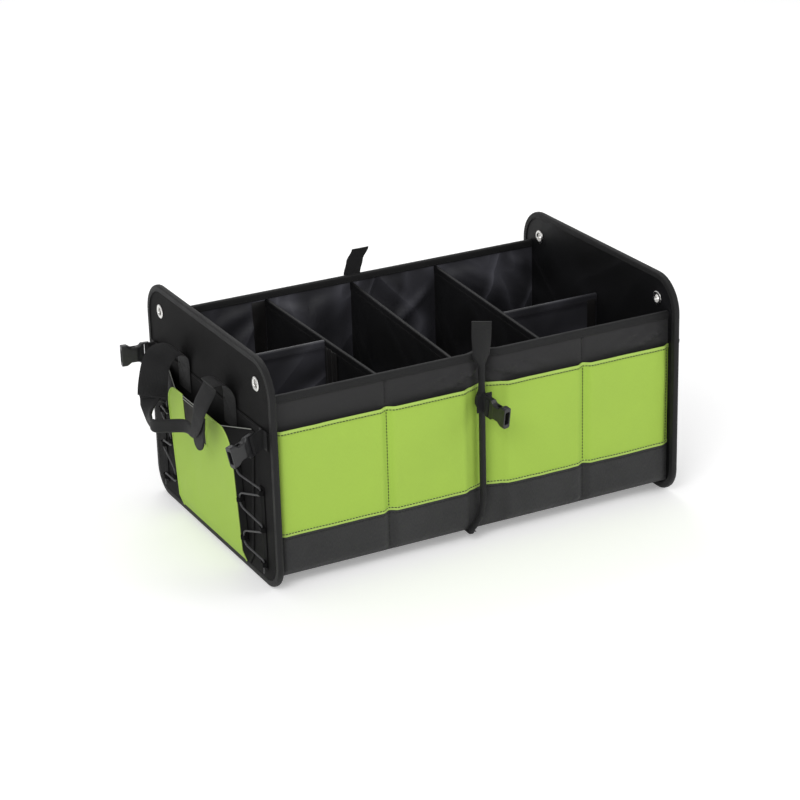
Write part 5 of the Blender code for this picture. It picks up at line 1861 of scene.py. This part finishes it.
    def edges(self) -> None:
        """Lays a folded edge round the notch and along the face's sides, coloured lighter as a painted highlight."""
        (near, far), top, cut, levels = self.notch, self.top, self.notch_bottom, self.heights()
        proud = self.cloth / 2 + 0.0003
        for name, path in (
                ("front", [(self.front_edge(z), z) for z in reversed(levels)] + [(near, top)]),
                ("notch", [(near, top), (near, cut), (far, cut), (far, top)]),
                ("rear", [(far, top)] + [(self.half_width(z), z) for z in levels])):
            fine = []
            for start, end in zip(path, path[1:]):
                shares = spaced(0, 1, min(1.0, 0.005 / max(math.dist(start, end), 1e-6)))[:-1]
                fine += [[a + (b - a) * share for a, b in zip(start, end)] for share in shares]
            line = [self.point(y, z, proud) for y, z in [*fine, path[-1]]]
            place(tube(f"end_pocket_edge_{name}", line, self.edge_radius), LIT_GREEN_EDGE)
        for name, drop in zip(("high", "low"), self.line_drops):
            line = [self.point(y, top - drop, proud) for y in spaced(near, far, 0.005)]
            place(tube(f"end_pocket_insert_line_{name}", line, self.line_radius), EDGE_THREAD)

    def gusset_row(self, sign: float, z: float) -> tuple[Vector, Vector]:
        """Gives the side cloth's edge at the face and its seam on the end panel, at a height.

        Args:
            sign: Sign of the side's Y.
            z: Height.

        Returns:
            The point at the face and the one at the seam.
        """
        gap = self.carcass.gap
        out, edge = self.out(z), self.half_width(z) + self.cloth + gap
        share = max(0.0, z - self.foot) / (self.top - self.foot)
        sewn = self.half + self.cloth + gap + self.spread * out
        return Vector((-self.seat - out, sign * edge, z)), Vector((-self.seat, sign * sewn, z + self.rise * share))

    def gusset(self, wall: Wall) -> None:
        """Builds one side of the pocket, from its face back to the end panel.

        Args:
            wall: The long wall that it is next to.
        """
        sign, name, rows, sewn = wall.value, wall.name.lower(), [], []
        for z in self.heights():
            edge, root = self.gusset_row(sign, z)
            rows.append([edge.lerp(root, share) for share in spaced(0, 1, 0.1)]
                        + [root + Vector((0, sign * self.flange * share, 0)) for share in (0.3, 0.65, 1.0)])
            sewn.append(root + Vector((-self.cloth / 2, sign * 0.6 * self.flange, 0)))
        place_sheet(cloth_sheet(f"end_pocket_side_{name}", rows, self.cloth), PANEL_CLOTH, f"end_pocket_gusset_{name}",
                    (self.side_flat, self.top - self.bottom), "left_panel_lower_cloth")
        PLAIN.sew(f"end_pocket_side_stitches_{name}", [(sewn, LEFTWARD)])
        edge, root = self.gusset_row(sign, self.top)
        line = [edge.lerp(root, share) + Vector((0, 0, 0.0003)) for share in spaced(0, 1, 0.1)]
        place(tube(f"end_pocket_side_edge_{name}", line, self.line_radius), EDGE_THREAD)


def joined(parts: Sequence[Obj]) -> Obj:
    """Joins objects into the last one.

    Args:
        parts: The objects, whose places are in their meshes.

    Returns:
        One object with all their faces.
    """
    keep = parts[-1]
    bm = bmesh.new()
    for part in parts:
        bm.from_mesh(part.data)
    bm.to_mesh(keep.data)
    bm.free()
    keep.data.shade_smooth()
    keep.data.set_sharp_from_angle(angle=math.radians(FOLD_ANGLE))
    for part in parts[:-1]:
        bpy.data.objects.remove(part)
    return keep


@dataclass(frozen=True)
class Lacing:
    """Elastic cord laced between the end pocket and the panel, through loops on two tapes."""

    pocket: EndPocket
    radius: float = 0.0012
    clear: float = 0.0016
    turn: float = 0.0040
    pocket_turn: float = 0.0100
    pocket_reach: float = 0.6
    turn_limit: float = 0.98
    tail: float = 0.008
    loop_height: float = 0.006
    loop_cloth: float = 0.0010
    loop_inside: float = 0.0042
    loop_voxel: float = 0.0005
    panel_y: float = 0.158
    pocket_in: float = 0.008
    panel_z: tuple[float, ...] = (0.128, 0.078, 0.030)
    pocket_z: tuple[float, ...] = (0.145, 0.100, 0.048)
    steps: int = 8

    def pocket_rail(self, sign: float, z: float) -> tuple[Vector, Vector]:
        """Gives the pocket tape's seat at a height and its outward direction.

        Args:
            sign: Sign of the side's Y.
            z: Height.

        Returns:
            The seat and the direction.
        """
        pocket = self.pocket
        edge, root = pocket.gusset_row(sign, z)
        lower = pocket.gusset_row(sign, pocket.foot)[0]
        across = (root - edge).normalized()
        outward = across.cross(lower - edge).normalized() * sign
        return edge + across * self.pocket_in + outward * (pocket.cloth / 2 + pocket.carcass.gap), outward

    def panel_rail(self, sign: float, z: float) -> tuple[Vector, Vector]:
        """Gives the panel tape's seat at a height and its outward direction."""
        c = self.pocket.carcass
        return Vector((-(c.outer_x + 2 * c.gap + c.backing), sign * self.panel_y, z)), LEFTWARD

    def route(self, sign: float) -> list[Vector]:
        """Gives the cord's rounded route on one side of the pocket.

        Args:
            sign: Sign of the side's Y.

        Returns:
            The points of the cord's centre line.
        """
        near, wide = (self.loop_height / 2 + reach for reach in (self.clear, self.pocket_reach * self.pocket_turn))
        points, rounds = [], []
        for pocket_z, panel_z in zip(self.pocket_z, self.panel_z):
            for rail, height, corner, turn in ((self.pocket_rail, pocket_z, wide, self.pocket_turn),
                                               (self.panel_rail, panel_z, near, self.turn)):
                for z in (height + corner, height - corner):
                    seat, outward = rail(sign, z)
                    points.append(seat + outward * (self.loop_cloth + self.loop_inside / 2))
                    rounds.append(min(turn, self.turn_limit * corner))
        points[0] = points[0] + Vector((0, 0, self.tail))
        points[-1] = points[-1] - Vector((0, 0, self.tail))
        found = [points[0]]
        for before, at, after, turn in zip(points, points[1:], points[2:], rounds[1:]):
            start, end = (at + (other - at).normalized() * turn for other in (before, after))
            found += [start * (1 - t) ** 2 + at * 2 * t * (1 - t) + end * t**2 for t in spaced(0, 1, 1 / self.steps)]
        return found + [points[-1]]

    def dress(self) -> None:
        """Builds the cord and both loop tapes on each side."""
        for wall in Wall:
            name = wall.name.lower()
            cord = tube(f"end_pocket_cord_{name}", self.route(wall.value), self.radius, 14)
            place(cord, CORD, f"end_pocket_lace_{name}")
            for node in (f"end_pocket_loops_{name}", f"end_panel_loops_{name}"):
                place(softened(f"{node}_tape", node, self.loop_voxel, 2), LOOP_TAPE, node)


@dataclass(frozen=True)
class Buckle:
    """One half of a side-release buckle on its webbing tab."""

    name: str
    tab: Tab
    voxel: float = 0.00042
    rounds: int = 4

    def dress(self) -> None:
        """Builds the tab, and the buckle with its moulded edges rounded."""
        self.tab.dress()
        node = f"{self.name}_buckle"
        place(softened(f"{node}_moulding", node, self.voxel, self.rounds), BUCKLE, node, body=f"{node}_half")


def buckles(carcass: Carcass) -> list[Buckle]:
    """Gives all six buckle halves, each on its tab.

    Args:
        carcass: The shared sizes.

    Returns:
        The buckle halves.
    """
    strap = Strap(carcass)
    front, rear = strap.thick / 2 - strap.front_y, strap.thick / 2 + strap.rear_y
    left, right = carcass.outer_x + carcass.gap + carcass.backing, carcass.outer_x
    x, wall_z, y, z = strap.x, strap.tab_z, 0.170, 0.203
    tabs = (
        ("front", (x, -front, wall_z), (0, -1, 0), -10, 0.0110),
        ("rear", (x, rear, wall_z), (0, 1, 0), -10, 0.0182),
        ("left_front", (-left, -y, z), (-1, 0, 0), -12, 0.0165),
        ("left_rear", (-left, y, z + 0.004), (-1, 0, 0), 0, 0.0125),
        ("right_front", (right, -y, z), (1, 0, 0), -12, 0.0110),
        ("right_rear", (right, y, z), (1, 0, 0), -12, 0.0165),
    )
    return [Buckle(name, Tab(f"{name}_buckle_tab", *rest)) for name, *rest in tabs]


# ---------------------------------------------------------------- studio


@dataclass(frozen=True)
class Studio:
    """A pale floor, soft light and the photograph's camera."""

    azimuth: float = 27.257
    elevation: float = 22.196
    roll: float = -0.0277
    distance: float = 3.2084
    lens: float = 108.48
    sensor: float = 36.0
    far: float = 60.0
    target: tuple[float, float, float] = (-0.0194, 0.0, 0.1362)
    floor_size: float = 14.0
    ambient: float = 0.55
    floor_lift: float = 0.28
    lamps: tuple[tuple[str, tuple[float, float, float], float, float], ...] = (
        ("key_lamp", (-2.2, -2.1, 2.5), 1.6, 46.0), ("fill_lamp", (2.6, -1.8, 1.8), 2.0, 22.0),
        ("rear_lamp", (0.6, 2.4, 2.6), 1.6, 26.0))

    def camera(self) -> None:
        """Places the camera at the photograph's viewing angle."""
        az, el = math.radians(self.azimuth), math.radians(self.elevation)
        back = Vector((-math.sin(az) * math.cos(el), -math.cos(az) * math.cos(el), math.sin(el)))
        right = Vector((math.cos(az), -math.sin(az), 0))
        up = back.cross(right)
        if up.z < 0:
            up = -up
        turned = right * math.cos(self.roll) + up * math.sin(self.roll)
        upright = -right * math.sin(self.roll) + up * math.cos(self.roll)
        made = bpy.data.cameras.new("camera")
        made.lens, made.sensor_width, made.clip_end = self.lens, self.sensor, self.far
        obj = linked("camera", made)
        turn = Matrix((turned, upright, back)).transposed().to_4x4()
        obj.matrix_world = Matrix.Translation(Vector(self.target) + back * self.distance) @ turn
        bpy.context.scene.camera = obj

    def floor(self) -> None:
        """Lays the pale floor, which is plain white to the camera apart from the object's shadow."""
        g = Graph("studio_floor")
        path = g.node("LightPath", {}).outputs
        seen = g.math("MAXIMUM", g.math("MAXIMUM", path["Is Camera Ray"], path["Is Glossy Ray"]),
                      path["Is Transmission Ray"])
        g.feed(g.shader, {"Base Color": (0.93, 0.93, 0.93, 1.0), "Roughness": 0.9, "Emission Color": (1, 1, 1, 1),
                          "Emission Strength": g.math("MULTIPLY", seen, self.floor_lift)})
        half = self.floor_size
        mesh = bpy.data.meshes.new("studio_floor")
        mesh.from_pydata([(-half, -half, 0), (half, -half, 0), (half, half, 0), (-half, half, 0)], [], [(0, 1, 2, 3)])
        mesh.materials.append(g.made)
        linked("studio_floor", mesh)

    def sky(self) -> None:
        """Sets an even soft light, seen as white by the camera."""
        world = bpy.data.worlds.new("studio")
        bpy.context.scene.world = world
        world.use_nodes = True
        tree = world.node_tree
        shader = tree.nodes["Background"]
        shader.inputs["Color"].default_value = (1, 1, 1, 1)
        path, mix = (tree.nodes.new(f"ShaderNode{kind}") for kind in ("LightPath", "MapRange"))
        mix.inputs["To Min"].default_value = self.ambient
        mix.inputs["To Max"].default_value = 1.0
        tree.links.new(path.outputs["Is Camera Ray"], mix.inputs["Value"])
        tree.links.new(mix.outputs[0], shader.inputs["Strength"])

    def set_up(self) -> None:
        """Builds the whole studio, with its soft square lamps facing the organizer."""
        bpy.context.scene.view_settings.view_transform = "Standard"
        self.camera()
        self.floor()
        self.sky()
        for name, spot, size, power in self.lamps:
            made = bpy.data.lights.new(name, "AREA")
            made.shape, made.size, made.energy = "SQUARE", size, power
            obj = linked(name, made)
            obj.location = spot
            obj.rotation_euler = (Vector((0, 0, 0.15)) - Vector(spot)).to_track_quat("-Z", "Y").to_euler()


def main() -> None:
    """Builds the organizer from its sub-assemblies and sets up the studio."""
    logging.basicConfig(level=logging.INFO, format="%(message)s", force=True)
    Studio().set_up()
    carcass = Carcass()
    eyelet = Eyelet(carcass)
    holes = eyelet.cutter()
    for side in Side:
        EndPanel(carcass, side).dress(holes)
        Handle(carcass, side).dress()
        for wall in Wall:
            eyelet.ring(side, wall)
    bpy.data.objects.remove(holes)
    dividers, pockets, pocket = Dividers(carcass), FrontPockets(carcass), EndPocket(carcass)
    front_ends, rear_ends = ([row[end] for row in dividers.ends] for end in (1, 2))
    LongWall(carcass, Wall.FRONT, tuple(front_ends), pockets.seams).dress()
    LongWall(carcass, Wall.REAR, tuple(rear_ends)).dress()
    for assembly in (pockets, Base(carcass), dividers, Strap(carcass), *buckles(carcass), pocket, Lacing(pocket)):
        assembly.dress()
    for name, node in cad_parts.items():
        if "board" in name and not name.startswith("base_board"):
            node.data.materials.clear()
            node.data.materials.append(material_of(BOARD))
            LOG.info("%s: %s, inside", name, BOARD.name)


if __name__ == "__main__":
    main()
